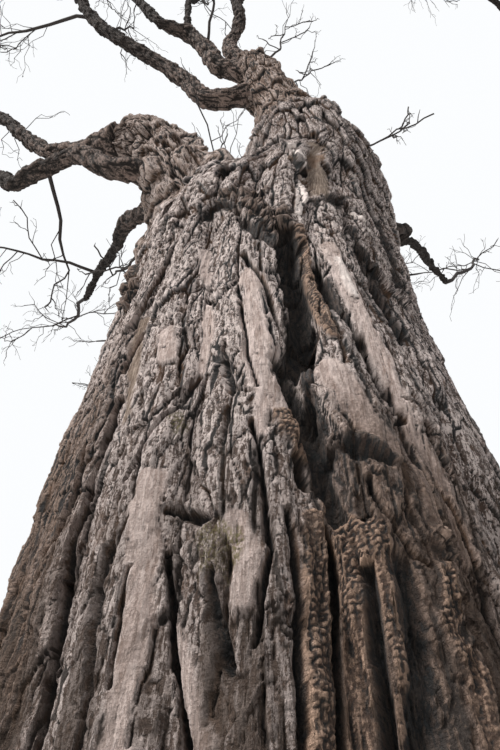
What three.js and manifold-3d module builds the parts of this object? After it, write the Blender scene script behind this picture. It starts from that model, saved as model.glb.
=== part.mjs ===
// A veteran broad-leaved tree in winter: a thick furrowed trunk that flares into its roots and forks
// into an arching left stem and an upright right stem, a short leader above the right stem's broken
// shoulder, crooked boughs, and bare zigzag twigs. Millimetres, +Z up, the ground at z = 0.
// The origin is the middle of the flat cut under the trunk, and -Y is the side that is looked at.
import * as THREE from "three";
import { mergeVertices } from "three/addons/utils/BufferGeometryUtils.js";
import Module from "manifold-3d";

const wasm = await Module();
wasm.setup();

// Neighbouring pieces of wood stay this far apart.
const CLEARANCE = 0.3;

// The trunk and the right stem are one column. Each row is a height, with the column's radius there
// and how far its middle has moved to the right (+X) and to the back (+Y).
const COLUMN = [
  { height: 0, radius: 860, right: 0, back: 0 },
  { height: 180, radius: 805, right: 0, back: 0 },
  { height: 450, radius: 765, right: 0, back: 0 },
  { height: 900, radius: 735, right: 0, back: 0 },
  { height: 1500, radius: 720, right: 0, back: 0 },
  { height: 2200, radius: 714, right: 0, back: 0 },
  { height: 2650, radius: 692, right: 0, back: 0 },
  { height: 3000, radius: 658, right: -8, back: 0 },
  { height: 3300, radius: 624, right: -15, back: 0 },
  { height: 3620, radius: 603, right: -8, back: 0 },
  { height: 4000, radius: 590, right: 5, back: 0 },
  { height: 4350, radius: 540, right: 55, back: 5 },
  { height: 4650, radius: 450, right: 165, back: 20 },
  { height: 4950, radius: 390, right: 260, back: 35 },
  { height: 5350, radius: 375, right: 275, back: 50 },
  { height: 5650, radius: 355, right: 275, back: 70 },
  { height: 5880, radius: 300, right: 285, back: 80 },
  { height: 6040, radius: 220, right: 290, back: 85 },
  { height: 6130, radius: 110, right: 290, back: 85 },
];
const STEM_CUT_HEIGHT = 5150;
const COLUMN_RING_GAP = 720;

// Root buttresses: the way each points, in degrees from +X, and how far it stands out at the ground.
const BUTTRESSES = [
  { angle: -118, reach: 190, halfWidth: 0.24 },
  { angle: -66, reach: 250, halfWidth: 0.3 },
  { angle: -14, reach: 180, halfWidth: 0.24 },
  { angle: 38, reach: 270, halfWidth: 0.32 },
  { angle: 96, reach: 200, halfWidth: 0.26 },
  { angle: 141, reach: 230, halfWidth: 0.28 },
  { angle: 192, reach: 260, halfWidth: 0.32 },
];
const BUTTRESS_FADE_HEIGHT = 620;
const BUTTRESS_RIDGE = 14;

// Long shallow flutes run up the whole column.
const FLUTES = [
  { count: 3, depth: 16, turn: 0.6 },
  { count: 5, depth: 12, turn: 2.1 },
];

// Valleys run up the column between its ribs. Those on the side that is looked at have a route, each
// row a height and an angle in degrees from +X. The others stand at an angle and sway a little. All
// fade out between the two heights of VALLEY_TOPS, where the column forks.
const FRONT_VALLEYS = [
  [[0, -150], [2300, -151], [3400, -146], [4500, -140]],
  [[0, -126], [1800, -128], [2400, -130], [3300, -128], [4200, -124]],
  [[0, -103], [1700, -104], [2100, -109], [2600, -107], [3400, -110], [4300, -112]],
  [[0, -84], [2200, -84], [2500, -87], [3000, -84], [3430, -86], [3760, -93], [4400, -100]],
  [[0, -60], [2000, -59], [2300, -62], [2600, -68], [2870, -71], [3250, -77]],
  [[0, -40], [2200, -38], [2980, -53], [3700, -60], [4600, -66]],
];
const BACK_VALLEY_ANGLES = [-15, 10, 35, 60, 85, 110, 135, 160, 185];
const BACK_VALLEY_SWAY = 4;
const BACK_VALLEY_WAVE = 900;
const VALLEY_DEPTH = 42;
const VALLEY_HALF_WIDTH = 62;
const VALLEY_TOPS = [4300, 5000];
const VALLEY_GIRTH_RADIUS = 720;

// The column has three corners for each valley: one on its floor and one on each brink, which stands off
// by an angle in degrees, or by a share of the way to the next valley where they run close together.
const CORNERS_PER_VALLEY = 3;
const BRINK_ANGLE = 7;
const BRINK_SHARE = 0.36;

// The left stem is fused to the trunk up to its cut, and is a limb of its own from there.
const LEFT_STEM = {
  route: [
    [-60, -30, 3750],
    [-220, -120, 4180],
    [-350, -190, 4530],
    [-450, -225, 4790],
    [-560, -220, 5080],
    [-690, -190, 5330],
    [-850, -150, 5430],
  ],
  radii: [330, 290, 240, 180, 140, 118, 92],
};
const LEFT_STEM_SIDES = 14;
const LEFT_STEM_CUT = 3;

// Every other limb: the one that carries it, its route from inside that one, and its radii, spread
// evenly from base to tip. One with a wander has an extra knot, moved off by up to so much in each
// direction, between every two of its route.
const LIMBS = [
  {
    name: "leader",
    on: "right_stem",
    route: [
      [235, 85, 5850],
      [190, 95, 6300],
      [100, 120, 6860],
      [20, 140, 7390],
      [-55, 160, 7900],
    ],
    radii: [235, 205, 178, 165, 125],
    sides: 12,
  },
  {
    name: "left_high_bough",
    on: "left_stem",
    route: [
      [-850, -150, 5430],
      [-975, -105, 5460],
      [-1113, -50, 5520],
      [-1260, 0, 5610],
      [-1400, 50, 5760],
      [-1640, 100, 6130],
      [-1920, 150, 6575],
      [-2500, 300, 7150],
      [-3200, 420, 7650],
    ],
    radii: [82, 60, 52, 45, 38, 28],
  },
  {
    name: "left_low_bough",
    on: "left_stem",
    route: [
      [-440, -240, 4700],
      [-665, -330, 4617],
      [-778, -330, 4651],
      [-900, -300, 4828],
      [-1005, -260, 4945],
      [-1131, -200, 4994],
      [-1298, -100, 5049],
      [-1446, 0, 5160],
      [-1700, 130, 5560],
      [-2350, 420, 6000],
      [-3250, 700, 6250],
    ],
    radii: [70, 46, 50, 50, 42, 34, 24],
  },
  {
    name: "left_back_bough",
    on: "left_stem",
    route: [
      [-430, -100, 4640],
      [-594, 0, 4843],
      [-802, 300, 5320],
      [-921, 500, 5533],
      [-1035, 800, 5861],
      [-1146, 1000, 6001],
      [-1306, 1300, 6284],
      [-1539, 1800, 6652],
    ],
    radii: [62, 48, 44, 40, 34, 26],
  },
  {
    name: "right_back_bough",
    on: "trunk",
    route: [
      [470, 40, 4700],
      [690, 110, 4850],
      [815, 200, 4985],
      [801, 300, 5037],
      [918, 400, 5189],
      [1224, 900, 5725],
      [1424, 1200, 5995],
    ],
    radii: [44, 34, 30, 28, 24, 20],
  },
  {
    name: "upper_left_bough",
    on: "leader",
    route: [
      [60, 130, 7060],
      [-371, 120, 6886],
      [-550, 120, 7178],
      [-707, 100, 7460],
      [-1037, 50, 7858],
      [-1356, 0, 8249],
      [-1642, -50, 8800],
      [-1795, -80, 9250],
      [-2250, -230, 9850],
    ],
    radii: [92, 70, 64, 60, 54, 46, 34],
  },
  {
    name: "top_left_bough",
    on: "leader",
    route: [
      [0, 140, 7560],
      [-320, 150, 7726],
      [-464, 120, 8100],
      [-644, 100, 8540],
      [-792, 60, 8580],
      [-913, 20, 8620],
      [-1047, 0, 8900],
      [-1193, 0, 9327],
      [-1430, 60, 10050],
    ],
    radii: [95, 80, 68, 58, 48, 42, 32],
  },
  {
    name: "top_middle_bough",
    on: "top_left_bough",
    route: [
      [-644, 100, 8540],
      [-690, 110, 8800],
      [-704, 100, 9200],
      [-736, 120, 9850],
      [-700, 260, 10500],
    ],
    radii: [38, 31, 28, 24],
  },
  {
    name: "top_bough",
    on: "leader",
    route: [
      [-50, 155, 7760],
      [-240, 180, 8200],
      [-277, 175, 8466],
      [-224, 150, 8716],
      [-179, 100, 9013],
      [-202, 50, 9300],
      [-226, 0, 9615],
      [-150, -40, 10150],
      [60, 0, 10800],
    ],
    radii: [88, 68, 60, 56, 52, 44, 30],
  },
  {
    name: "right_arch_bough",
    on: "top_bough",
    wander: 90,
    route: [
      [-214, 20, 9500],
      [200, -80, 10050],
      [900, -180, 10450],
      [1700, -260, 10480],
      [2500, -300, 10050],
    ],
    radii: [48, 42, 36, 26],
  },
  {
    name: "right_hanging_bough",
    on: "right_arch_bough",
    wander: 110,
    route: [
      [1400, -225, 10520],
      [2000, 0, 10480],
      [2750, 250, 10000],
      [3300, 700, 9150],
      [3550, 1000, 8350],
    ],
    radii: [36, 34, 30, 24],
  },
  {
    name: "right_front_bough",
    on: "right_arch_bough",
    wander: 110,
    route: [
      [550, -130, 10290],
      [900, -700, 10500],
      [1550, -1650, 10050],
      [2200, -2450, 9050],
      [2550, -2850, 8050],
    ],
    radii: [40, 38, 32, 24],
  },
  {
    name: "front_arch_bough",
    on: "top_bough",
    wander: 110,
    route: [
      [-190, -20, 9880],
      [-260, -650, 10150],
      [-150, -1600, 9850],
      [80, -2500, 8950],
      [200, -3050, 7950],
    ],
    radii: [44, 40, 33, 24],
  },
  {
    name: "front_left_bough",
    on: "upper_left_bough",
    wander: 110,
    route: [
      [-1770, -75, 9170],
      [-2000, -600, 9400],
      [-2400, -1500, 9100],
      [-2850, -2250, 8200],
      [-3100, -2600, 7300],
    ],
    radii: [42, 38, 32, 24],
  },
  {
    name: "back_low_bough",
    on: "right_stem",
    wander: 100,
    route: [
      [310, 150, 5350],
      [340, 620, 5750],
      [470, 1250, 6450],
      [420, 2100, 7200],
      [250, 2900, 7750],
    ],
    radii: [150, 118, 92, 66, 36],
  },
  {
    name: "back_right_bough",
    on: "right_stem",
    wander: 100,
    route: [
      [400, 200, 5700],
      [620, 560, 6250],
      [800, 1150, 7150],
      [1200, 2000, 8250],
      [1450, 2750, 9000],
    ],
    radii: [145, 112, 88, 64, 34],
  },
  {
    name: "back_top_bough",
    on: "leader",
    wander: 90,
    route: [
      [110, 120, 6900],
      [160, 480, 7500],
      [260, 800, 8300],
      [420, 1400, 9300],
      [480, 1950, 10150],
    ],
    radii: [110, 88, 70, 52, 30],
  },
  {
    name: "back_left_bough",
    on: "trunk",
    wander: 100,
    route: [
      [-180, 250, 4350],
      [-420, 650, 4950],
      [-620, 1300, 5750],
      [-930, 2300, 6600],
      [-1150, 3050, 7050],
    ],
    radii: [135, 104, 82, 60, 34],
  },
];
const BOUGH_SIDES = 7;
const RINGS_PER_KNOT = 1.6;

// Each spray is one mass of bare twigs. It grows from a limb's tip (at: 1) or from its flank. The
// stem's reach is its length, and its heading is a rough way, straightened to one unit long.
const SPRAYS = [
  { name: "left_high_tip_twigs", on: "left_high_bough", at: 1, heading: [-9, 1, 3], reach: 1700 },
  { name: "left_high_upper_twigs", on: "left_high_bough", at: 0.8, heading: [-3, -3, 9], reach: 1500 },
  { name: "left_high_inner_twigs", on: "left_high_bough", at: 0.62, heading: [-6, 3, 8], reach: 1150 },
  { name: "left_low_tip_twigs", on: "left_low_bough", at: 1, heading: [-9, 2, 1], reach: 1650 },
  { name: "left_low_front_twigs", on: "left_low_bough", at: 0.86, heading: [-5, -8, -1], reach: 1450 },
  { name: "left_low_drooping_twigs", on: "left_low_bough", at: 0.53, heading: [-1, 6, -3], reach: 900 },
  { name: "left_back_tip_twigs", on: "left_back_bough", at: 1, heading: [-3, 8, 5], reach: 1500 },
  { name: "left_back_side_twigs", on: "left_back_bough", at: 0.85, heading: [-9, -1, 1], reach: 1100 },
  { name: "right_back_tip_twigs", on: "right_back_bough", at: 1, heading: [6, 7, 7], reach: 1500 },
  { name: "upper_left_tip_twigs", on: "upper_left_bough", at: 1, heading: [-6, -1, 7], reach: 1650 },
  { name: "upper_left_inner_twigs", on: "upper_left_bough", at: 0.63, heading: [1, 1, 9], reach: 1150 },
  { name: "upper_left_outer_twigs", on: "upper_left_bough", at: 0.72, heading: [-9, 3, 2], reach: 1400 },
  { name: "top_left_tip_twigs", on: "top_left_bough", at: 1, heading: [-3, 1, 9], reach: 1500 },
  { name: "top_left_spur_twigs", on: "top_left_bough", at: 0.27, heading: [2, -5, 9], reach: 1050 },
  { name: "top_middle_tip_twigs", on: "top_middle_bough", at: 1, heading: [1, 3, 9], reach: 1500 },
  { name: "top_tip_twigs", on: "top_bough", at: 1, heading: [3, 0, 9], reach: 1450 },
  { name: "right_arch_tip_twigs", on: "right_arch_bough", at: 1, heading: [9, -1, -5], reach: 1700 },
  { name: "right_arch_upper_twigs", on: "right_arch_bough", at: 0.62, heading: [4, 3, 8], reach: 1400 },
  { name: "right_hanging_tip_twigs", on: "right_hanging_bough", at: 1, heading: [3, 4, -8], reach: 1400 },
  { name: "right_hanging_outer_twigs", on: "right_hanging_bough", at: 0.62, heading: [8, 1, 1], reach: 1300 },
  { name: "right_front_tip_twigs", on: "right_front_bough", at: 1, heading: [4, -5, -7], reach: 1500 },
  { name: "right_front_outer_twigs", on: "right_front_bough", at: 0.6, heading: [8, -5, 3], reach: 1350 },
  { name: "front_arch_tip_twigs", on: "front_arch_bough", at: 1, heading: [1, -5, -7], reach: 1500 },
  { name: "front_arch_outer_twigs", on: "front_arch_bough", at: 0.6, heading: [-2, -8, 3], reach: 1350 },
  { name: "front_left_tip_twigs", on: "front_left_bough", at: 1, heading: [-4, -5, -7], reach: 1500 },
  { name: "front_left_outer_twigs", on: "front_left_bough", at: 0.6, heading: [-8, -5, 3], reach: 1350 },
  { name: "back_low_tip_twigs", on: "back_low_bough", at: 1, heading: [-1, 9, 2], reach: 1600 },
  { name: "back_low_side_twigs", on: "back_low_bough", at: 0.7, heading: [3, 6, 8], reach: 1300 },
  { name: "back_right_tip_twigs", on: "back_right_bough", at: 1, heading: [5, 8, 4], reach: 1600 },
  { name: "back_right_upper_twigs", on: "back_right_bough", at: 0.7, heading: [0, 6, 6], reach: 1300 },
  { name: "back_top_tip_twigs", on: "back_top_bough", at: 1, heading: [1, 5, 8], reach: 1600 },
  { name: "back_left_tip_twigs", on: "back_left_bough", at: 1, heading: [-4, 9, 2], reach: 1600 },
  { name: "back_left_side_twigs", on: "back_left_bough", at: 0.66, heading: [-8, 4, 3], reach: 1200 },
  { name: "leader_right_twigs", on: "leader", at: 0.62, heading: [4, 0, 8], reach: 620 },
  { name: "leader_top_twigs", on: "leader", at: 0.93, heading: [5, -1, 9], reach: 850 },
  { name: "shoulder_twigs", on: "right_stem", at: 0.5, from: [585, 40, 5680], heading: [8, 1, 4], reach: 560 },
  { name: "crotch_twigs", on: "right_stem", at: 0.2, from: [-75, 90, 5250], heading: [-2, 0, 9], reach: 1000 },
  { name: "trunk_left_twigs", on: "trunk", at: 0.9, from: [-545, -90, 4390], heading: [-4, 6, 4], reach: 800 },
];

// How twigs grow, by level: the stem of a spray, its side twigs and their side twigs. A twig has so
// many joints and bends by its kink, in radians, to one side and the other. Its own side twigs stand
// off by the fork angle, from the first forked joint on, and have a share of its length and thickness.
const LEVELS = [
  { joints: 5, kink: 0.3, fork: 0.95, lengthShare: 0.68, thickShare: 0.45 },
  { joints: 3, kink: 0.42, fork: 0.9, lengthShare: 0.6, thickShare: 0.6 },
  { joints: 2, kink: 0.5, fork: 0.8, lengthShare: 0.5, thickShare: 0.7 },
];
const FIRST_FORKED_JOINT = 2;
const LEAST_FORKED_LENGTH = 640;
const TIP_RADIUS_SHARE = 0.42;
const LEAST_TWIG_RADIUS = 5;
const TWIG_SIDES = 3;
const TWIG_LIFT = 0.07;
const TWIG_ROLL = 1.9;
const STEM_RADIUS_PER_REACH = 0.0135;
const STEM_SHARE_OF_LIMB = 0.85;
const SEAT_DEPTH = 0.7;

// A twig keeps this far from the limbs, from the other sprays' space and from the ground, and keeps to
// this share of its spray's reach round the stem.
const CLEAR_OF_LIMBS = 15;
const CLEAR_OF_SPACES = 25;
const LEAST_TWIG_HEIGHT = 2500;
const SPACE_SHARE = 0.55;
const FOOT_GAP = 30;

const LIMB_SEED = 5417;
const SPRAY_SEED = 7321;
const TWIG_SEED = 7919;

const BARK = new THREE.MeshStandardMaterial({ color: 0x8d7b6f, roughness: 0.95, metalness: 0 });
const LIMB_BARK = new THREE.MeshStandardMaterial({ color: 0x63564e, roughness: 0.93, metalness: 0 });
const TWIG_BARK = new THREE.MeshStandardMaterial({ color: 0x3c3733, roughness: 0.9, metalness: 0 });

const vector = (place) => new THREE.Vector3(...place);

// A number between the rows of a list, share running from 0 at its first row to 1 at its last.
function along(rows, share) {
  const place = Math.min(Math.max(share, 0), 1) * (rows.length - 1);
  const row = Math.min(Math.floor(place), rows.length - 2);
  return THREE.MathUtils.lerp(rows[row], rows[row + 1], place - row);
}

// The column's radius and middle at a height.
function columnAt(height) {
  const above = COLUMN.findIndex((row) => row.height > height);
  if (above < 1) return COLUMN[above < 0 ? COLUMN.length - 1 : 0];
  const [low, high] = [COLUMN[above - 1], COLUMN[above]];
  const share = (height - low.height) / (high.height - low.height);
  const between = (key) => THREE.MathUtils.lerp(low[key], high[key], share);
  return { radius: between("radius"), right: between("right"), back: between("back") };
}

// The angles of the valleys' floors at a height, in radians, each larger than the last.
function valleysAt(height) {
  const front = FRONT_VALLEYS.map((route) => {
    const above = route.findIndex((row) => row[0] > height);
    if (above < 1) return route[above < 0 ? route.length - 1 : 0][1];
    const [[low, angle], [high, next]] = [route[above - 1], route[above]];
    return THREE.MathUtils.mapLinear(height, low, high, angle, next);
  });
  const sway = (angle) => BACK_VALLEY_SWAY * Math.sin(height / BACK_VALLEY_WAVE + angle);
  const back = BACK_VALLEY_ANGLES.map((angle) => angle + sway(angle));
  return [...front, ...back].map(THREE.MathUtils.degToRad);
}

// The angles of the column's corners at a height: every valley's floor and its two brinks.
function cornerAngles(height) {
  const floors = valleysAt(height);
  const brink = THREE.MathUtils.degToRad(BRINK_ANGLE);
  return floors.flatMap((floor, i) => {
    const next = i + 1 < floors.length ? floors[i + 1] : floors[0] + 2 * Math.PI;
    const off = Math.min(brink, (next - floor) * BRINK_SHARE);
    return [floor, floor + off, next - off];
  });
}

// How far the buttresses, the flutes and the valleys move the column's surface outwards.
function swell(angle, height) {
  const fade = Math.exp(-height / BUTTRESS_FADE_HEIGHT);
  let out = 0;
  for (const { angle: middle, reach, halfWidth } of BUTTRESSES) {
    const apart = angle - THREE.MathUtils.degToRad(middle);
    const nearest = Math.atan2(Math.sin(apart), Math.cos(apart));
    out += (reach * fade + BUTTRESS_RIDGE) * Math.exp(-((nearest / halfWidth) ** 2));
  }
  for (const { count, depth, turn } of FLUTES) out += depth * Math.sin(count * angle + turn);
  const valleyDepth = VALLEY_DEPTH * (1 - THREE.MathUtils.smoothstep(height, ...VALLEY_TOPS));
  for (const floor of valleysAt(height)) {
    const nearest = Math.atan2(Math.sin(angle - floor), Math.cos(angle - floor));
    out -= valleyDepth * Math.exp(-(((nearest * VALLEY_GIRTH_RADIUS) / VALLEY_HALF_WIDTH) ** 2));
  }
  return out;
}

// A closed tube: a cylinder whose rings are moved by place(angle, share, spread), where share runs
// from 0 at the foot to 1 at the top, and spread is 1 on the wall and 0 at the middle of a cap.
function tube(sides, rings, place) {
  const geometry = new THREE.CylinderGeometry(1, 1, 1, sides, rings);
  geometry.rotateX(Math.PI / 2);
  const corners = geometry.getAttribute("position");
  for (let i = 0; i < corners.count; i++) {
    const [x, y] = [corners.getX(i), corners.getY(i)];
    const spot = place(Math.atan2(y, x), corners.getZ(i) + 0.5, Math.hypot(x, y));
    corners.setXYZ(i, spot.x, spot.y, spot.z);
  }
  geometry.deleteAttribute("normal");
  geometry.deleteAttribute("uv");
  return mergeVertices(geometry, 1e-3);
}

// The heights of the rings: the column's rows, and as many between them as the ring gap needs.
function ringHeights(low, high) {
  const inside = COLUMN.map((row) => row.height).filter((height) => height > low && height < high);
  const rows = [low, ...inside, high];
  const heights = [low];
  for (let i = 1; i < rows.length; i++) {
    const parts = Math.ceil((rows[i] - rows[i - 1]) / COLUMN_RING_GAP);
    for (let k = 1; k <= parts; k++) heights.push(THREE.MathUtils.lerp(rows[i - 1], rows[i], k / parts));
  }
  return heights;
}

// The column between two heights, its sides and top grown by extra.
function columnTube(low, high, extra = 0) {
  const heights = ringHeights(low, high);
  const last = heights.length - 1;
  const sides = (FRONT_VALLEYS.length + BACK_VALLEY_ANGLES.length) * CORNERS_PER_VALLEY;
  const corners = heights.map(cornerAngles);
  return tube(sides, last, (turn, share, spread) => {
    const ring = Math.round(share * last);
    const height = heights[ring];
    const { radius, right, back } = columnAt(height);
    const corner = Math.round((turn / (2 * Math.PI)) * sides);
    const angle = corners[ring][(corner + sides) % sides];
    const out = (radius + swell(angle, height) + extra) * spread;
    const [x, y] = [right + out * Math.cos(angle), back + out * Math.sin(angle)];
    return new THREE.Vector3(x, y, height + extra * share);
  });
}

// The column's middle and radii between two heights.
function columnLine(low, high) {
  const rows = ringHeights(low, high).map((height) => ({ height, ...columnAt(height) }));
  return {
    points: rows.map(({ height, right, back }) => new THREE.Vector3(right, back, height)),
    radii: rows.map(({ radius }) => radius),
  };
}

// Two directions square to the way a line runs at each of its points, carried along without a twist.
function framesAlong(ways) {
  const start = Math.abs(ways[0].z) > 0.8 ? new THREE.Vector3(1, 0, 0) : new THREE.Vector3(0, 0, 1);
  let side = start.clone().cross(ways[0]).normalize();
  return ways.map((way) => {
    side = side.clone().addScaledVector(way, -side.dot(way)).normalize();
    return { side, over: way.clone().cross(side) };
  });
}

// A tapering round tube through the points, with a radius for each, grown all round by extra.
function pointsTube(points, radii, sides, extra = 0) {
  const last = points.length - 1;
  const ways = points.map((_, i) => {
    const before = points[Math.max(i - 1, 0)];
    return points[Math.min(i + 1, last)].clone().sub(before).normalize();
  });
  const frames = framesAlong(ways);
  return tube(sides, last, (angle, share, spread) => {
    const ring = Math.round(share * last);
    const { side, over } = frames[ring];
    const out = (radii[ring] + extra) * spread;
    const onward = ring === 0 ? -extra : ring === last ? extra : 0;
    return points[ring]
      .clone()
      .addScaledVector(ways[ring], onward)
      .addScaledVector(side, out * Math.cos(angle))
      .addScaledVector(over, out * Math.sin(angle));
  });
}

// Even random numbers by the Park-Miller rule. The first few of a seed are thrown away.
class Dice {
  static RANGE = 2147483647;

  constructor(seed) {
    this.state = (seed % (Dice.RANGE - 1)) + 1;
    for (let i = 0; i < 4; i++) this.roll();
  }

  roll() {
    this.state = (this.state * 48271) % Dice.RANGE;
    return this.state / Dice.RANGE;
  }
}

// A limb's knots, with an extra one between every two if it wanders.
function knotsOf({ route, wander }, seed) {
  const knots = route.map(vector);
  if (!wander) return knots;
  const dice = new Dice(seed);
  const between = (i) => {
    const off = new THREE.Vector3(dice.roll() - 0.5, dice.roll() - 0.5, dice.roll() - 0.5);
    return knots[i].clone().lerp(knots[i + 1], 0.5).addScaledVector(off, 2 * wander);
  };
  return knots.flatMap((knot, i) => (i + 1 < knots.length ? [knot, between(i)] : [knot]));
}

// The points and radii of a limb along its smooth route.
function limbLine(limb, seed = 1) {
  const knots = knotsOf(limb, seed);
  const curve = new THREE.CatmullRomCurve3(knots, false, "catmullrom", 0.5);
  const rings = Math.round((knots.length - 1) * (limb.wander ? 1 : RINGS_PER_KNOT));
  const shares = Array.from({ length: rings + 1 }, (_, i) => i / rings);
  return {
    points: shares.map((share) => curve.getPoint(share)),
    radii: shares.map((share) => along(limb.radii, share)),
  };
}

function solidOf(geometry) {
  return new wasm.Manifold(
    new wasm.Mesh({
      numProp: 3,
      vertProperties: geometry.getAttribute("position").array,
      triVerts: new Uint32Array(geometry.index.array),
    }),
  );
}

function geometryOf(solid) {
  const mesh = solid.getMesh();
  const corners = new Float32Array(mesh.numVert * 3);
  for (let i = 0; i < mesh.numVert; i++) {
    corners.set(mesh.vertProperties.subarray(i * mesh.numProp, i * mesh.numProp + 3), i * 3);
  }
  const geometry = new THREE.BufferGeometry();
  geometry.setAttribute("position", new THREE.BufferAttribute(corners, 3));
  geometry.setIndex(new THREE.BufferAttribute(mesh.triVerts, 1));
  return geometry;
}

// The trunk, the two stems and every limb, as solids, with a slightly larger copy of each to cut by.
const wood = new Map();
const larger = new Map();
const lines = new Map();

function addStems() {
  const leftLine = limbLine(LEFT_STEM);
  const cutPlace = vector(LEFT_STEM.route[LEFT_STEM_CUT]);
  const cutWay = vector(LEFT_STEM.route[LEFT_STEM_CUT + 1]).sub(cutPlace).normalize();
  const cut = cutPlace.dot(cutWay);
  const up = cutWay.toArray();
  const down = cutWay.clone().negate().toArray();
  const top = COLUMN[COLUMN.length - 1].height;
  for (const [solids, extra] of [[wood, 0], [larger, CLEARANCE]]) {
    const foot = solidOf(columnTube(0, STEM_CUT_HEIGHT, extra));
    const left = solidOf(pointsTube(leftLine.points, leftLine.radii, LEFT_STEM_SIDES, extra));
    solids.set("trunk", foot.add(left.trimByPlane(down, -cut - extra)));
    solids.set("right_stem", solidOf(columnTube(STEM_CUT_HEIGHT, top, extra)));
    solids.set("left_stem", left.trimByPlane(up, cut));
  }
  for (const name of ["left_stem", "right_stem"]) {
    wood.set(name, largestPiece(wood.get(name).subtract(larger.get("trunk"))));
  }
  lines.set("trunk", columnLine(0, STEM_CUT_HEIGHT));
  lines.set("right_stem", columnLine(STEM_CUT_HEIGHT, top));
  lines.set("left_stem", leftLine);
}

// Each limb gives way to the wood that is there before it.
function addLimbs() {
  for (const [number, limb] of LIMBS.entries()) {
    const sides = limb.sides ?? BOUGH_SIDES;
    const line = limbLine(limb, LIMB_SEED * (number + 1));
    const whole = solidOf(pointsTube(line.points, line.radii, sides));
    const cut = [...larger.values()].reduce((rest, other) => rest.subtract(other), whole);
    wood.set(limb.name, largestPiece(cut));
    larger.set(limb.name, solidOf(pointsTube(line.points, line.radii, sides, CLEARANCE)));
    lines.set(limb.name, line);
  }
}

function largestPiece(solid) {
  return solid.decompose().reduce((best, piece) => (piece.volume() > best.volume() ? piece : best));
}

// How near a point is to the wood of a limb, less than 0 inside it.
function gapToLine(point, { points, radii }) {
  let least = Infinity;
  const nearest = new THREE.Vector3();
  for (let i = 0; i + 1 < points.length; i++) {
    const span = new THREE.Line3(points[i], points[i + 1]);
    const share = span.closestPointToPointParameter(point, true);
    span.at(share, nearest);
    const radius = THREE.MathUtils.lerp(radii[i], radii[i + 1], share);
    least = Math.min(least, nearest.distanceTo(point) - radius);
  }
  return least;
}

// Where each spray starts, the limbs that its foot is sunk in, and the line that its stem grows along.
function placeSprays() {
  return SPRAYS.map((spray, number) => {
    const heading = vector(spray.heading).normalize();
    const line = lines.get(spray.on);
    const place = spray.at * (line.points.length - 1);
    const knot = Math.min(Math.floor(place), line.points.length - 2);
    const limbRadius = THREE.MathUtils.lerp(line.radii[knot], line.radii[knot + 1], place - knot);
    const start = line.points[knot].clone().lerp(line.points[knot + 1], place - knot);
    const way = line.points[knot + 1].clone().sub(line.points[knot]).normalize();
    const outward = heading.clone().addScaledVector(way, -heading.dot(way)).normalize();
    if (spray.from) start.set(...spray.from);
    else if (spray.at < 1) start.addScaledVector(outward, limbRadius * SEAT_DEPTH);
    const sunkIn = ([name, other]) => name === spray.on || gapToLine(start, other) < FOOT_GAP;
    return {
      ...spray,
      heading,
      start,
      radius: Math.min(spray.reach * STEM_RADIUS_PER_REACH, limbRadius * STEM_SHARE_OF_LIMB),
      seed: SPRAY_SEED * (number + 1),
      seats: [...lines].filter(sunkIn).map(([name]) => name),
      axis: new THREE.Line3(start, start.clone().addScaledVector(heading, spray.reach)),
    };
  });
}

// True if the point is near the spray's stem, nearer to it than to any other's, and above ground.
function keepsToSpace(point, spray, sprays) {
  const own = gapToStem(point, spray);
  if (own > spray.reach * SPACE_SHARE || point.z < LEAST_TWIG_HEIGHT) return false;
  return sprays.every((other) => other === spray || gapToStem(point, other) > own + CLEAR_OF_SPACES);
}

function gapToStem(point, { axis }) {
  const nearest = new THREE.Vector3();
  return axis.closestPointToPoint(point, true, nearest).distanceTo(point);
}

function clearOfLimbs(from, to, radius, skipped) {
  const spots = [0.25, 0.5, 0.75, 1].map((share) => from.clone().lerp(to, share));
  const free = (line) => spots.every((spot) => gapToLine(spot, line) > radius + CLEAR_OF_LIMBS);
  return [...lines].every(([name, line]) => skipped.includes(name) || free(line));
}

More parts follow.
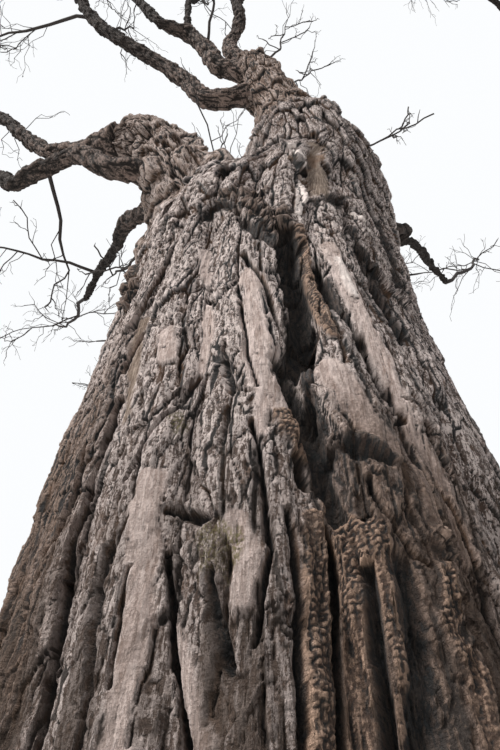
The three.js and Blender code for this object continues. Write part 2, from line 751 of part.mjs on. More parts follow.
// Grows one twig and its side twigs into the list. Each joint bends the other way from the last, and
// the twig ends early where the next joint would leave the space or come near a limb.
function growTwig({ seed, start, heading, length, radius, level }, spray, sprays, twigs) {
  const { joints, kink, fork, lengthShare, thickShare } = LEVELS[level];
  const dice = new Dice(seed);
  const anyWay = () => new THREE.Vector3(dice.roll() - 0.5, dice.roll() - 0.5, dice.roll() - 0.5);
  const tipRadius = Math.max(radius * TIP_RADIUS_SHARE, LEAST_TWIG_RADIUS);
  const skipped = level === 0 ? spray.seats : [];
  const points = [start];
  const sideTwigs = [];
  let turn = dice.roll() < 0.5 ? 1 : -1;
  let way = heading;
  let side = anyWay().cross(way).normalize();
  for (let joint = 1; joint <= joints; joint++) {
    way = way.clone().addScaledVector(side, turn * kink * (0.5 + dice.roll()));
    way.z += TWIG_LIFT;
    way.normalize();
    side = side.clone().applyAxisAngle(way, (dice.roll() - 0.5) * TWIG_ROLL);
    side.addScaledVector(way, -side.dot(way)).normalize();
    const from = points[joint - 1];
    const to = from.clone().addScaledVector(way, length / joints);
    if (!keepsToSpace(to, spray, sprays) || !clearOfLimbs(from, to, radius, skipped)) break;
    points.push(to);
    sideTwigs.push({
      seed: (seed * TWIG_SEED + joint) % Dice.RANGE,
      start: to,
      heading: way.clone().multiplyScalar(Math.cos(fork)).addScaledVector(side, -turn * Math.sin(fork)),
      length: length * lengthShare * (1 - joint / joints / 2) * (0.75 + dice.roll() / 2),
      radius: Math.max(THREE.MathUtils.lerp(radius, tipRadius, joint / joints) * thickShare, LEAST_TWIG_RADIUS),
      level: level + 1,
    });
    turn = -turn;
  }
  if (points.length < 2) return;
  const radii = points.map((_, i) => THREE.MathUtils.lerp(radius, tipRadius, i / joints));
  radii[points.length - 1] = tipRadius;
  twigs.push({ points, radii });
  if (level + 1 === LEVELS.length || (level > 0 && length < LEAST_FORKED_LENGTH)) return;
  for (const twig of sideTwigs.slice(FIRST_FORKED_JOINT - 1)) growTwig(twig, spray, sprays, twigs);
}

function spraySolid(spray, sprays) {
  const twigs = [];
  growTwig({ ...spray, length: spray.reach, level: 0 }, spray, sprays, twigs);
  if (!twigs.length) throw new Error(spray.name + " has no room for its stem");
  const solids = twigs.map(({ points, radii }) => solidOf(pointsTube(points, radii, TWIG_SIDES)));
  const joined = solids.reduce((whole, solid) => whole.add(solid));
  return largestPiece(spray.seats.reduce((rest, name) => rest.subtract(larger.get(name)), joined));
}

addStems();
addLimbs();

const tree = new THREE.Group();
function addNode(name, solid, material) {
  const mesh = new THREE.Mesh(geometryOf(solid), material);
  mesh.name = name;
  tree.add(mesh);
}

const stems = ["trunk", "left_stem", "right_stem"];
for (const [name, solid] of wood) addNode(name, solid, stems.includes(name) ? BARK : LIMB_BARK);
const sprays = placeSprays();
for (const spray of sprays) addNode(spray.name, spraySolid(spray, sprays), TWIG_BARK);

export default tree;
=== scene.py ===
# An old bare tree in winter: furrowed bark on the trunk and its two stems, scaly bark on the boughs,
# and twigs that grow by the same rule as the solids' twigs and are then carried on to finer ones.
# Lengths are metres, apart from the skeleton's rows, which repeat the solids' own millimetres.
import math
import bpy
import numpy as np
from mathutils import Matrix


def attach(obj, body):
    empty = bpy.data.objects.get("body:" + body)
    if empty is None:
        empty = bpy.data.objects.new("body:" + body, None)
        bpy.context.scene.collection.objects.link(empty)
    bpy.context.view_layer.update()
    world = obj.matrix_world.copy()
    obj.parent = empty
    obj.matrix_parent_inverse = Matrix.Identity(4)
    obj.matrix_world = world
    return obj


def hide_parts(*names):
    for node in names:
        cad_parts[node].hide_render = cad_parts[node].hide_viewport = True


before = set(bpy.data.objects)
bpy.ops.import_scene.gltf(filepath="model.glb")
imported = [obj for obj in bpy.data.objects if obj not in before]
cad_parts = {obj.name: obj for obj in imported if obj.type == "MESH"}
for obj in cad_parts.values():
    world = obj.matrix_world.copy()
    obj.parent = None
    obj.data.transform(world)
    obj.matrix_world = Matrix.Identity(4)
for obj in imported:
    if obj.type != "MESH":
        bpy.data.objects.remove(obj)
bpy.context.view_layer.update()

MM = 0.001

# The random numbers: the range, factor and throw-away of the twigs' dice, and the factors and shifts
# that scatter numbers over the bark.
RNG_RANGE = 2147483647
RNG_FACTOR = 48271
RNG_THROWN_AWAY = 4
SCATTER_TOP = 0xFFFFFFFF
SCATTER_SEED_FACTOR = 374761393
SCATTER_FACTORS = (2246822519, 3266489917, 668265263)
SCATTER_SHIFTS = (15, 13, 16)

# The camera stands by the foot of the tree and looks steeply up it.
EYE = np.array([-0.08, -1.85, 1.25])
CAMERA_TILT = math.radians(50)
LENS = 35.0
SENSOR = 36.0
PHOTO_WIDE = 500
PHOTO_HIGH = 750
PIXELS_PER_UNIT = LENS / SENSOR * PHOTO_HIGH

# The column is the trunk and the right stem: height, radius, and its middle's place right and back.
COLUMN = np.array([
    (0, 860, 0, 0), (180, 805, 0, 0), (450, 765, 0, 0), (900, 735, 0, 0), (1500, 720, 0, 0),
    (2200, 714, 0, 0), (2650, 692, 0, 0), (3000, 658, -8, 0), (3300, 624, -15, 0),
    (3620, 603, -8, 0), (4000, 590, 5, 0), (4350, 540, 55, 5), (4650, 450, 165, 20),
    (4950, 390, 260, 35), (5350, 375, 275, 50), (5650, 355, 275, 70), (5880, 300, 285, 80),
    (6040, 220, 290, 85), (6130, 110, 290, 85),
], float)
STEM_CUT_HEIGHT = 5150
COLUMN_RING_GAP = 720

# Each buttress's angle in degrees, how far it reaches out at the ground and its half width in radians.
BUTTRESSES = [
    (-118, 190, 0.24), (-66, 250, 0.3), (-14, 180, 0.24), (38, 270, 0.32), (96, 200, 0.26),
    (141, 230, 0.28), (192, 260, 0.32),
]
NOMINAL_RADIUS = 0.72
BUTTRESS_FADE_HEIGHT = 620
BUTTRESS_RIDGE = 14

# Flutes round the column: how many, how deep and how far turned, in radians.
FLUTES = [(3, 16, 0.6), (5, 12, 2.1)]

# Valleys run up the column between its ribs. Those on the camera's side have a route, each row a
# height and an angle in degrees. The others stand at an angle and sway a little.
FRONT_VALLEYS = [
    [(0, -150), (2300, -151), (3400, -146), (4500, -140)],
    [(0, -126), (1800, -128), (2400, -130), (3300, -128), (4200, -124)],
    [(0, -103), (1700, -104), (2100, -109), (2600, -107), (3400, -110), (4300, -112)],
    [(0, -84), (2200, -84), (2500, -87), (3000, -84), (3430, -86), (3760, -93), (4400, -100)],
    [(0, -60), (2000, -59), (2300, -62), (2600, -68), (2870, -71), (3250, -77)],
    [(0, -40), (2200, -38), (2980, -53), (3700, -60), (4600, -66)],
]
BACK_VALLEY_ANGLES = (-15, 10, 35, 60, 85, 110, 135, 160, 185)
BACK_VALLEY_SWAY = 4
BACK_VALLEY_WAVE = 900
VALLEY_DEPTH = 42
VALLEY_HALF_WIDTH = 62
VALLEY_TOPS = (4300, 5000)

# The limbs: what carries each, its route and its radii. One with a wander has an extra knot between
# every two of its route.
LIMBS = {
    "left_stem": {
        "on": "trunk",
        "route": [
            (-60, -30, 3750), (-220, -120, 4180), (-350, -190, 4530), (-450, -225, 4790),
            (-560, -220, 5080), (-690, -190, 5330), (-850, -150, 5430),
        ],
        "radii": [330, 290, 240, 180, 140, 118, 92],
    },
    "leader": {
        "on": "right_stem",
        "route": [
            (235, 85, 5850), (190, 95, 6300), (100, 120, 6860), (20, 140, 7390), (-55, 160, 7900),
        ],
        "radii": [235, 205, 178, 165, 125],
    },
    "left_high_bough": {
        "on": "left_stem",
        "route": [
            (-850, -150, 5430), (-975, -105, 5460), (-1113, -50, 5520), (-1260, 0, 5610),
            (-1400, 50, 5760), (-1640, 100, 6130), (-1920, 150, 6575), (-2500, 300, 7150),
            (-3200, 420, 7650),
        ],
        "radii": [82, 60, 52, 45, 38, 28],
    },
    "left_low_bough": {
        "on": "left_stem",
        "route": [
            (-440, -240, 4700), (-665, -330, 4617), (-778, -330, 4651), (-900, -300, 4828),
            (-1005, -260, 4945), (-1131, -200, 4994), (-1298, -100, 5049), (-1446, 0, 5160),
            (-1700, 130, 5560), (-2350, 420, 6000), (-3250, 700, 6250),
        ],
        "radii": [70, 46, 50, 50, 42, 34, 24],
    },
    "left_back_bough": {
        "on": "left_stem",
        "route": [
            (-430, -100, 4640), (-594, 0, 4843), (-802, 300, 5320), (-921, 500, 5533),
            (-1035, 800, 5861), (-1146, 1000, 6001), (-1306, 1300, 6284), (-1539, 1800, 6652),
        ],
        "radii": [62, 48, 44, 40, 34, 26],
    },
    "right_back_bough": {
        "on": "trunk",
        "route": [
            (470, 40, 4700), (690, 110, 4850), (815, 200, 4985), (801, 300, 5037),
            (918, 400, 5189), (1224, 900, 5725), (1424, 1200, 5995),
        ],
        "radii": [44, 34, 30, 28, 24, 20],
    },
    "upper_left_bough": {
        "on": "leader",
        "route": [
            (60, 130, 7060), (-371, 120, 6886), (-550, 120, 7178), (-707, 100, 7460),
            (-1037, 50, 7858), (-1356, 0, 8249), (-1642, -50, 8800), (-1795, -80, 9250),
            (-2250, -230, 9850),
        ],
        "radii": [92, 70, 64, 60, 54, 46, 34],
    },
    "top_left_bough": {
        "on": "leader",
        "route": [
            (0, 140, 7560), (-320, 150, 7726), (-464, 120, 8100), (-644, 100, 8540),
            (-792, 60, 8580), (-913, 20, 8620), (-1047, 0, 8900), (-1193, 0, 9327),
            (-1430, 60, 10050),
        ],
        "radii": [95, 80, 68, 58, 48, 42, 32],
    },
    "top_middle_bough": {
        "on": "top_left_bough",
        "route": [
            (-644, 100, 8540), (-690, 110, 8800), (-704, 100, 9200), (-736, 120, 9850),
            (-700, 260, 10500),
        ],
        "radii": [38, 31, 28, 24],
    },
    "top_bough": {
        "on": "leader",
        "route": [
            (-50, 155, 7760), (-240, 180, 8200), (-277, 175, 8466), (-224, 150, 8716),
            (-179, 100, 9013), (-202, 50, 9300), (-226, 0, 9615), (-150, -40, 10150),
            (60, 0, 10800),
        ],
        "radii": [88, 68, 60, 56, 52, 44, 30],
    },
    "right_arch_bough": {
        "on": "top_bough",
        "wander": 90,
        "route": [
            (-214, 20, 9500), (200, -80, 10050), (900, -180, 10450), (1700, -260, 10480),
            (2500, -300, 10050),
        ],
        "radii": [48, 42, 36, 26],
    },
    "right_hanging_bough": {
        "on": "right_arch_bough",
        "wander": 110,
        "route": [
            (1400, -225, 10520), (2000, 0, 10480), (2750, 250, 10000), (3300, 700, 9150),
            (3550, 1000, 8350),
        ],
        "radii": [36, 34, 30, 24],
    },
    "right_front_bough": {
        "on": "right_arch_bough",
        "wander": 110,
        "route": [
            (550, -130, 10290), (900, -700, 10500), (1550, -1650, 10050), (2200, -2450, 9050),
            (2550, -2850, 8050),
        ],
        "radii": [40, 38, 32, 24],
    },
    "front_arch_bough": {
        "on": "top_bough",
        "wander": 110,
        "route": [
            (-190, -20, 9880), (-260, -650, 10150), (-150, -1600, 9850), (80, -2500, 8950),
            (200, -3050, 7950),
        ],
        "radii": [44, 40, 33, 24],
    },
    "front_left_bough": {
        "on": "upper_left_bough",
        "wander": 110,
        "route": [
            (-1770, -75, 9170), (-2000, -600, 9400), (-2400, -1500, 9100), (-2850, -2250, 8200),
            (-3100, -2600, 7300),
        ],
        "radii": [42, 38, 32, 24],
    },
    "back_low_bough": {
        "on": "right_stem",
        "wander": 100,
        "route": [
            (310, 150, 5350), (340, 620, 5750), (470, 1250, 6450), (420, 2100, 7200),
            (250, 2900, 7750),
        ],
        "radii": [150, 118, 92, 66, 36],
    },
    "back_right_bough": {
        "on": "right_stem",
        "wander": 100,
        "route": [
            (400, 200, 5700), (620, 560, 6250), (800, 1150, 7150), (1200, 2000, 8250),
            (1450, 2750, 9000),
        ],
        "radii": [145, 112, 88, 64, 34],
    },
    "back_top_bough": {
        "on": "leader",
        "wander": 90,
        "route": [
            (110, 120, 6900), (160, 480, 7500), (260, 800, 8300), (420, 1400, 9300),
            (480, 1950, 10150),
        ],
        "radii": [110, 88, 70, 52, 30],
    },
    "back_left_bough": {
        "on": "trunk",
        "wander": 100,
        "route": [
            (-180, 250, 4350), (-420, 650, 4950), (-620, 1300, 5750), (-930, 2300, 6600),
            (-1150, 3050, 7050),
        ],
        "radii": [135, 104, 82, 60, 34],
    },
}
RINGS_PER_KNOT = 1.6
LIMB_SEED = 5417

# Each spray of twigs: the limb that it grows from, how far along it, its heading and its reach.
SPRAYS = [
    ("left_high_tip_twigs", "left_high_bough", 1, (-9, 1, 3), 1700),
    ("left_high_upper_twigs", "left_high_bough", 0.8, (-3, -3, 9), 1500),
    ("left_high_inner_twigs", "left_high_bough", 0.62, (-6, 3, 8), 1150),
    ("left_low_tip_twigs", "left_low_bough", 1, (-9, 2, 1), 1650),
    ("left_low_front_twigs", "left_low_bough", 0.86, (-5, -8, -1), 1450),
    ("left_low_drooping_twigs", "left_low_bough", 0.53, (-1, 6, -3), 900),
    ("left_back_tip_twigs", "left_back_bough", 1, (-3, 8, 5), 1500),
    ("left_back_side_twigs", "left_back_bough", 0.85, (-9, -1, 1), 1100),
    ("right_back_tip_twigs", "right_back_bough", 1, (6, 7, 7), 1500),
    ("upper_left_tip_twigs", "upper_left_bough", 1, (-6, -1, 7), 1650),
    ("upper_left_inner_twigs", "upper_left_bough", 0.63, (1, 1, 9), 1150),
    ("upper_left_outer_twigs", "upper_left_bough", 0.72, (-9, 3, 2), 1400),
    ("top_left_tip_twigs", "top_left_bough", 1, (-3, 1, 9), 1500),
    ("top_left_spur_twigs", "top_left_bough", 0.27, (2, -5, 9), 1050),
    ("top_middle_tip_twigs", "top_middle_bough", 1, (1, 3, 9), 1500),
    ("top_tip_twigs", "top_bough", 1, (3, 0, 9), 1450),
    ("right_arch_tip_twigs", "right_arch_bough", 1, (9, -1, -5), 1700),
    ("right_arch_upper_twigs", "right_arch_bough", 0.62, (4, 3, 8), 1400),
    ("right_hanging_tip_twigs", "right_hanging_bough", 1, (3, 4, -8), 1400),
    ("right_hanging_outer_twigs", "right_hanging_bough", 0.62, (8, 1, 1), 1300),
    ("right_front_tip_twigs", "right_front_bough", 1, (4, -5, -7), 1500),
    ("right_front_outer_twigs", "right_front_bough", 0.6, (8, -5, 3), 1350),
    ("front_arch_tip_twigs", "front_arch_bough", 1, (1, -5, -7), 1500),
    ("front_arch_outer_twigs", "front_arch_bough", 0.6, (-2, -8, 3), 1350),
    ("front_left_tip_twigs", "front_left_bough", 1, (-4, -5, -7), 1500),
    ("front_left_outer_twigs", "front_left_bough", 0.6, (-8, -5, 3), 1350),
    ("back_low_tip_twigs", "back_low_bough", 1, (-1, 9, 2), 1600),
    ("back_low_side_twigs", "back_low_bough", 0.7, (3, 6, 8), 1300),
    ("back_right_tip_twigs", "back_right_bough", 1, (5, 8, 4), 1600),
    ("back_right_upper_twigs", "back_right_bough", 0.7, (0, 6, 6), 1300),
    ("back_top_tip_twigs", "back_top_bough", 1, (1, 5, 8), 1600),
    ("back_left_tip_twigs", "back_left_bough", 1, (-4, 9, 2), 1600),
    ("back_left_side_twigs", "back_left_bough", 0.66, (-8, 4, 3), 1200),
    ("leader_right_twigs", "leader", 0.62, (4, 0, 8), 620),
    ("leader_top_twigs", "leader", 0.93, (5, -1, 9), 850),
    ("shoulder_twigs", "right_stem", 0.5, (8, 1, 4), 560),
    ("crotch_twigs", "right_stem", 0.2, (-2, 0, 9), 1000),
    ("trunk_left_twigs", "trunk", 0.9, (-4, 6, 4), 800),
]
SPRAY_STARTS = {
    "shoulder_twigs": (585, 40, 5680),
    "crotch_twigs": (-75, 90, 5250),
    "trunk_left_twigs": (-545, -90, 4390),
}

# How twigs grow, by level. The first levels are the solids' own, and the last are finer.
LEVELS = [
    {"joints": 5, "kink": 0.3, "fork": 0.95, "length_share": 0.68, "thick_share": 0.45},
    {"joints": 3, "kink": 0.42, "fork": 0.9, "length_share": 0.6, "thick_share": 0.6},
    {"joints": 2, "kink": 0.5, "fork": 0.8, "length_share": 0.5, "thick_share": 0.7},
    {"joints": 4, "kink": 0.6, "fork": 0.85, "length_share": 0.55, "thick_share": 0.7},
    {"joints": 3, "kink": 0.6, "fork": 0.85, "length_share": 0.5, "thick_share": 0.7},
]
SOLID_LEVELS = 3
FIRST_FORKED_JOINT = 2
LEAST_FORKED_LENGTH = 640
TIP_RADIUS_SHARE = 0.42
LEAST_TWIG_RADIUS = 5
TWIG_LIFT = 0.07
TWIG_ROLL = 1.9
KINK_SIZES = (0.5, 1.5)
LENGTH_SIZES = (0.75, 1.25)
STEM_RADIUS_PER_REACH = 0.0135
STEM_SHARE_OF_LIMB = 0.85
SEAT_DEPTH = 0.7
CLEAR_OF_LIMBS = 15
CLEAR_OF_SPACES = 25
CHECKED_SHARES = (0.25, 0.5, 0.75, 1)
LEAST_TWIG_HEIGHT = 2500
SPACE_SHARE = 0.55
FOOT_GAP = 30
SPRAY_SEED = 7321
TWIG_SEED = 7919

# The finer twigs along the solids' twigs, in millimetres: how far apart they stand and how uneven that
# is, the share of a spray's stem that stays bare of them, how far they lean out in radians, and how
# long and how thick they are.
FINE_GAP = 150
FINE_GAP_UNEVENNESS = 0.8
FINE_SEED = 101
FINE_BARE_SHARE = 0.25
FINE_LEANS = (0.5, 1.1)
FINE_TIP_LEAN = 0.15
FINE_SIZES = (0.55, 1.45)
FINE_LENGTH_SHARE = 0.42
FINE_LENGTHS = (120, 460)
FINE_RADIUS = 4
FINE_TIP_RADIUS = 1.8


def unit(vector):
    return vector / np.linalg.norm(vector)


def lerp(a, b, share):
    return a + (b - a) * share


def smooth_step(low, high, value):
    share = np.clip((value - low) / (high - low), 0, 1)
    return share * share * (3 - 2 * share)


class Dice:
    """Even random numbers by the Park-Miller rule. The first few of a seed are thrown away."""

    def __init__(self, seed):
        self.state = seed % (RNG_RANGE - 1) + 1
        for _ in range(RNG_THROWN_AWAY):
            self.roll()

    def roll(self):
        self.state = self.state * RNG_FACTOR % RNG_RANGE
        return self.state / RNG_RANGE

    def any_way(self):
        return np.array([self.roll() - 0.5, self.roll() - 0.5, self.roll() - 0.5])


# The skeleton, in millimetres

def column_at(heights):
    """The column's radius, and its middle right and back, at each height."""
    return [np.interp(heights, COLUMN[:, 0], COLUMN[:, k]) for k in (1, 2, 3)]


def swell(angles, heights):
    """How far the buttresses and the flutes move the column's surface outwards."""
    fade = np.exp(-heights / BUTTRESS_FADE_HEIGHT)
    out = 0
    for middle, reach, half_width in BUTTRESSES:
        apart = angles - math.radians(middle)
        nearest = np.arctan2(np.sin(apart), np.cos(apart))
        out = out + (reach * fade + BUTTRESS_RIDGE) * np.exp(-((nearest / half_width) ** 2))
    for count, depth, turn in FLUTES:
        out = out + depth * np.sin(count * angles + turn)
    ways = [np.interp(heights, *np.array(way).T) for way in FRONT_VALLEYS]
    ways += [a + BACK_VALLEY_SWAY * np.sin(heights / BACK_VALLEY_WAVE + a) for a in BACK_VALLEY_ANGLES]
    fade = 1 - smooth_step(*VALLEY_TOPS, heights)
    for way in ways:
        apart = angles - np.radians(way)
        nearest = np.arctan2(np.sin(apart), np.cos(apart)) * NOMINAL_RADIUS / MM
        out = out - fade * VALLEY_DEPTH * np.exp(-((nearest / VALLEY_HALF_WIDTH) ** 2))
    return out


def column_line(low, high):
    """The column's middle and radii between two heights, at the rings of the solids."""
    inside = [h for h in COLUMN[:, 0] if low < h < high]
    rows = [low, *inside, high]
    heights = [low]
    for below, above in zip(rows, rows[1:]):
        parts = math.ceil((above - below) / COLUMN_RING_GAP)
        heights += [lerp(below, above, k / parts) for k in range(1, parts + 1)]
    radii, right, back = column_at(np.array(heights))
    return np.stack([right, back, heights], 1), radii


def knots_of(limb, seed):
    """A limb's knots. If it wanders, one more lies between every two, moved off by chance."""
    knots = [np.array(knot, float) for knot in limb["route"]]
    if "wander" not in limb:
        return np.array(knots)
    dice = Dice(seed)
    wandering = [knots[0]]
    for knot, after in zip(knots, knots[1:]):
        wandering += [lerp(knot, after, 0.5) + dice.any_way() * 2 * limb["wander"], after]
    return np.array(wandering)


def points_on(knots, shares):
    """The points of a smooth way through the knots, with shares from 0 at the first to 1 at the last."""
    last = len(knots) - 1
    place = np.clip(shares, 0, 1) * last
    row = np.minimum(place.astype(int), last - 1)
    w = (place - row)[:, None]
    more = np.vstack([2 * knots[0] - knots[1], knots, 2 * knots[-1] - knots[-2]])
    before, here, there, after = (more[row + k] for k in range(4))
    leave, arrive = (there - before) / 2, (after - here) / 2
    return (
        here + leave * w + (3 * there - 3 * here - 2 * leave - arrive) * w ** 2
        + (2 * here - 2 * there + leave + arrive) * w ** 3
    )


def radii_on(radii, shares):
    return np.interp(shares, np.linspace(0, 1, len(radii)), radii)


class Skeleton:
    """Every limb's knots, its line at the rings of the solids, and all their lines together."""

    def __init__(self):
        self.knots = {}
        self.lines = {}
        top = COLUMN[-1, 0]
        self.lines["trunk"] = column_line(0, STEM_CUT_HEIGHT)
        self.lines["right_stem"] = column_line(STEM_CUT_HEIGHT, top)
        for number, (name, limb) in enumerate(LIMBS.items()):
            knots = knots_of(limb, LIMB_SEED * number)
            per_knot = 1 if "wander" in limb else RINGS_PER_KNOT
            rings = math.floor((len(knots) - 1) * per_knot + 0.5)
            shares = np.linspace(0, 1, rings + 1)
            self.knots[name] = knots
            self.lines[name] = (points_on(knots, shares), radii_on(limb["radii"], shares))
        self.names = np.concatenate([[name] * (len(p) - 1) for name, (p, _) in self.lines.items()])
        self.starts = np.vstack([p[:-1] for p, _ in self.lines.values()])
        self.spans = np.vstack([p[1:] - p[:-1] for p, _ in self.lines.values()])
        self.radii = np.vstack([np.stack([r[:-1], r[1:]], 1) for _, r in self.lines.values()])
        self.squares = (self.spans ** 2).sum(1)

    def gaps(self, points):
        """How near each point is to the wood of each span, less than 0 inside it."""
        to = points[:, None] - self.starts
        share = np.clip((to * self.spans).sum(2) / self.squares, 0, 1)
        away = np.linalg.norm(to - share[..., None] * self.spans, axis=2)
        return away - lerp(self.radii[:, 0], self.radii[:, 1], share)


def place_sprays(skeleton):
    """Where each spray starts, the limbs that its foot is sunk in, and the line that it grows along."""
    sprays = []
    for number, (name, on, at, heading, reach) in enumerate(SPRAYS):
        points, radii = skeleton.lines[on]
        heading = unit(np.array(heading, float))
        place = at * (len(points) - 1)
        knot = min(int(place), len(points) - 2)
        limb_radius = lerp(radii[knot], radii[knot + 1], place - knot)
        start = lerp(points[knot], points[knot + 1], place - knot)
        way = unit(points[knot + 1] - points[knot])
        if name in SPRAY_STARTS:
            start = np.array(SPRAY_STARTS[name], float)
        elif at < 1:
            start = start + unit(heading - way * heading.dot(way)) * limb_radius * SEAT_DEPTH
        gaps = skeleton.gaps(start[None])[0]
        sprays.append({
            "name": name,
            "heading": heading,
            "start": start,
            "reach": reach,
            "radius": min(reach * STEM_RADIUS_PER_REACH, limb_radius * STEM_SHARE_OF_LIMB),
            "seed": SPRAY_SEED * (number + 1),
            "seats": {on, *skeleton.names[gaps < FOOT_GAP]},
        })
    return sprays


class Crown:
    """Grows the twigs of every spray, each in its own space and clear of the limbs."""

    def __init__(self, skeleton):
        self.skeleton = skeleton
        self.sprays = place_sprays(skeleton)
        self.starts = np.array([spray["start"] for spray in self.sprays])
        self.spans = np.array([spray["heading"] * spray["reach"] for spray in self.sprays])
        self.squares = (self.spans ** 2).sum(1)

    def keeps_to_space(self, point, number):
        """Whether a point is nearer to its own spray's line than to any other's, and not too low."""
        to = point - self.starts
        share = np.clip((to * self.spans).sum(1) / self.squares, 0, 1)
        away = np.linalg.norm(to - share[:, None] * self.spans, axis=1)
        own = away[number]
        if own > self.sprays[number]["reach"] * SPACE_SHARE or point[2] < LEAST_TWIG_HEIGHT:
            return False
        away[number] = np.inf
        return away.min() > own + CLEAR_OF_SPACES

    def clear_of_limbs(self, start, end, radius, skipped):
        """Whether a stretch of twig touches no limb other than those that its foot is sunk in."""
        spots = np.array([lerp(start, end, share) for share in CHECKED_SHARES])
        near = self.skeleton.gaps(spots).min(0) <= radius + CLEAR_OF_LIMBS
        return not near.any() or all(name in skipped for name in self.skeleton.names[near])

    def grow(self, number):
        """The twigs of one spray, each with its points, radii, level, seed and length."""
        spray = self.sprays[number]
        twigs = []
        first = {
            "seed": spray["seed"], "start": spray["start"], "heading": spray["heading"],
            "length": spray["reach"], "radius": spray["radius"], "level": 0,
        }
        self.grow_twig(first, number, twigs)
        for twig in list(twigs):
            self.grow_finer(twig, number, twigs)
        return twigs

    def grow_twig(self, twig, number, twigs):
        """Adds a twig, which kinks at each joint, and the side twigs that leave it there."""
        level = LEVELS[twig["level"]]
        finer = twig["level"] >= SOLID_LEVELS
        least = FINE_TIP_RADIUS if finer else LEAST_TWIG_RADIUS
        joints, length, radius = level["joints"], twig["length"], twig["radius"]
        dice = Dice(twig["seed"])
        tip_radius = max(radius * TIP_RADIUS_SHARE, least)
        skipped = self.sprays[number]["seats"] if twig["level"] == 0 else ()
        points = [twig["start"]]
        side_twigs = []
        turn = 1 if dice.roll() < 0.5 else -1
        way = twig["heading"]
        side = unit(np.cross(dice.any_way(), way))
        for joint in range(1, joints + 1):
            way = way + side * turn * level["kink"] * lerp(*KINK_SIZES, dice.roll())
            way[2] += TWIG_LIFT
            way = unit(way)
            roll = (dice.roll() - 0.5) * TWIG_ROLL
            side = (
                side * math.cos(roll) + np.cross(way, side) * math.sin(roll)
                + way * way.dot(side) * (1 - math.cos(roll))
            )
            side = unit(side - way * side.dot(way))
            end = points[-1] + way * length / joints
            if not self.keeps_to_space(end, number):
                break
            if not self.clear_of_limbs(points[-1], end, radius, skipped):
                break
            points.append(end)
            thick = lerp(radius, tip_radius, joint / joints) * level["thick_share"]
            side_twigs.append({
                "seed": (twig["seed"] * TWIG_SEED + joint) % RNG_RANGE,
                "start": end,
                "heading": way * math.cos(level["fork"]) - side * turn * math.sin(level["fork"]),
                "length": length * level["length_share"] * (1 - joint / joints / 2)
                * lerp(*LENGTH_SIZES, dice.roll()),
                "radius": max(thick, least),
                "level": twig["level"] + 1,
            })
            turn = -turn
        if len(points) < 2:
            return
        radii = np.array([lerp(radius, tip_radius, i / joints) for i in range(len(points))])
        radii[-1] = tip_radius
        twigs.append({
            "points": np.array(points), "radii": radii, "level": twig["level"],
            "seed": twig["seed"], "length": length,
        })
        if twig["level"] + 1 in (SOLID_LEVELS, len(LEVELS)):
            return
        if not finer and twig["level"] > 0 and length < LEAST_FORKED_LENGTH:
            return
        for side_twig in side_twigs[FIRST_FORKED_JOINT - 1:]:
            self.grow_twig(side_twig, number, twigs)

    def grow_finer(self, twig, number, twigs):
        """Finer twigs along one of the solids' twigs, to one side and the other, and at its tip."""
        points = twig["points"]
        spans = points[1:] - points[:-1]
        lengths = np.linalg.norm(spans, axis=1)
        ends = np.concatenate([[0], np.cumsum(lengths)])
        dice = Dice(twig["seed"] + FINE_SEED)
        count = int(ends[-1] / FINE_GAP)
        for n in range(1, count + 2):
            at = min(FINE_GAP * (n + FINE_GAP_UNEVENNESS * (dice.roll() - 0.5)), ends[-1])
            bare = twig["level"] == 0 and at < FINE_BARE_SHARE * ends[-1]
            row = min(int(np.searchsorted(ends, at, side="right")) - 1, len(spans) - 1)
            way = spans[row] / lengths[row]
            side = unit(np.cross(dice.any_way(), way))
            lean = lerp(*FINE_LEANS, dice.roll())
            if n > count:
                lean = FINE_TIP_LEAN
            size = lerp(*FINE_SIZES, dice.roll())
            length = np.clip(twig["length"] * FINE_LENGTH_SHARE * size, *FINE_LENGTHS)
            if bare:
                continue
            self.grow_twig({
                "seed": (twig["seed"] * TWIG_SEED + FINE_SEED * n) % RNG_RANGE,
                "start": points[row] + way * (at - ends[row]),
                "heading": unit(way * math.cos(lean) + side * math.sin(lean)),
                "length": length,
                "radius": FINE_RADIUS,
                "level": SOLID_LEVELS,
            }, number, twigs)


# Noise and cells that the bark's relief is made of

# How far the middle of a plate may lie off the middle of its cell, as a share of the cell.
PLATE_JITTER = 0.85

# Two points less apart than a hair are the same, and no divisor is less than nearly nothing.
HAIR = 1e-6
NEARLY_NOTHING = 1e-12


def scatter(seed, *places):
    """An even random number from 0 to 1 for every whole-numbered place."""
    start = seed * SCATTER_SEED_FACTOR + SCATTER_FACTORS[2] & SCATTER_TOP
    mixed = np.full(np.broadcast(*places).shape, start, np.uint32)
    first, second, _ = (np.uint32(factor) for factor in SCATTER_FACTORS)
    for place, factor in zip(places, SCATTER_FACTORS):
        mixed = mixed ^ place.astype(np.int64).astype(np.uint32) * np.uint32(factor)
        mixed = (mixed ^ mixed >> np.uint32(SCATTER_SHIFTS[0])) * first
        mixed = (mixed ^ mixed >> np.uint32(SCATTER_SHIFTS[1])) * second
        mixed = mixed ^ mixed >> np.uint32(SCATTER_SHIFTS[2])
    return mixed / float(SCATTER_TOP)


def noise(x, y, z, seed):
    """Smooth noise from -1 to 1 over space."""
    low = [np.floor(value) for value in (x, y, z)]
    share = [value - below for value, below in zip((x, y, z), low)]
    fx, fy, fz = (s * s * (3 - 2 * s) for s in share)
    total = 0
    for dx in (0, 1):
        for dy in (0, 1):
            for dz in (0, 1):
                weight = (fx if dx else 1 - fx) * (fy if dy else 1 - fy) * (fz if dz else 1 - fz)
                total = total + weight * scatter(seed, low[0] + dx, low[1] + dy, low[2] + dz)
    return total * 2 - 1


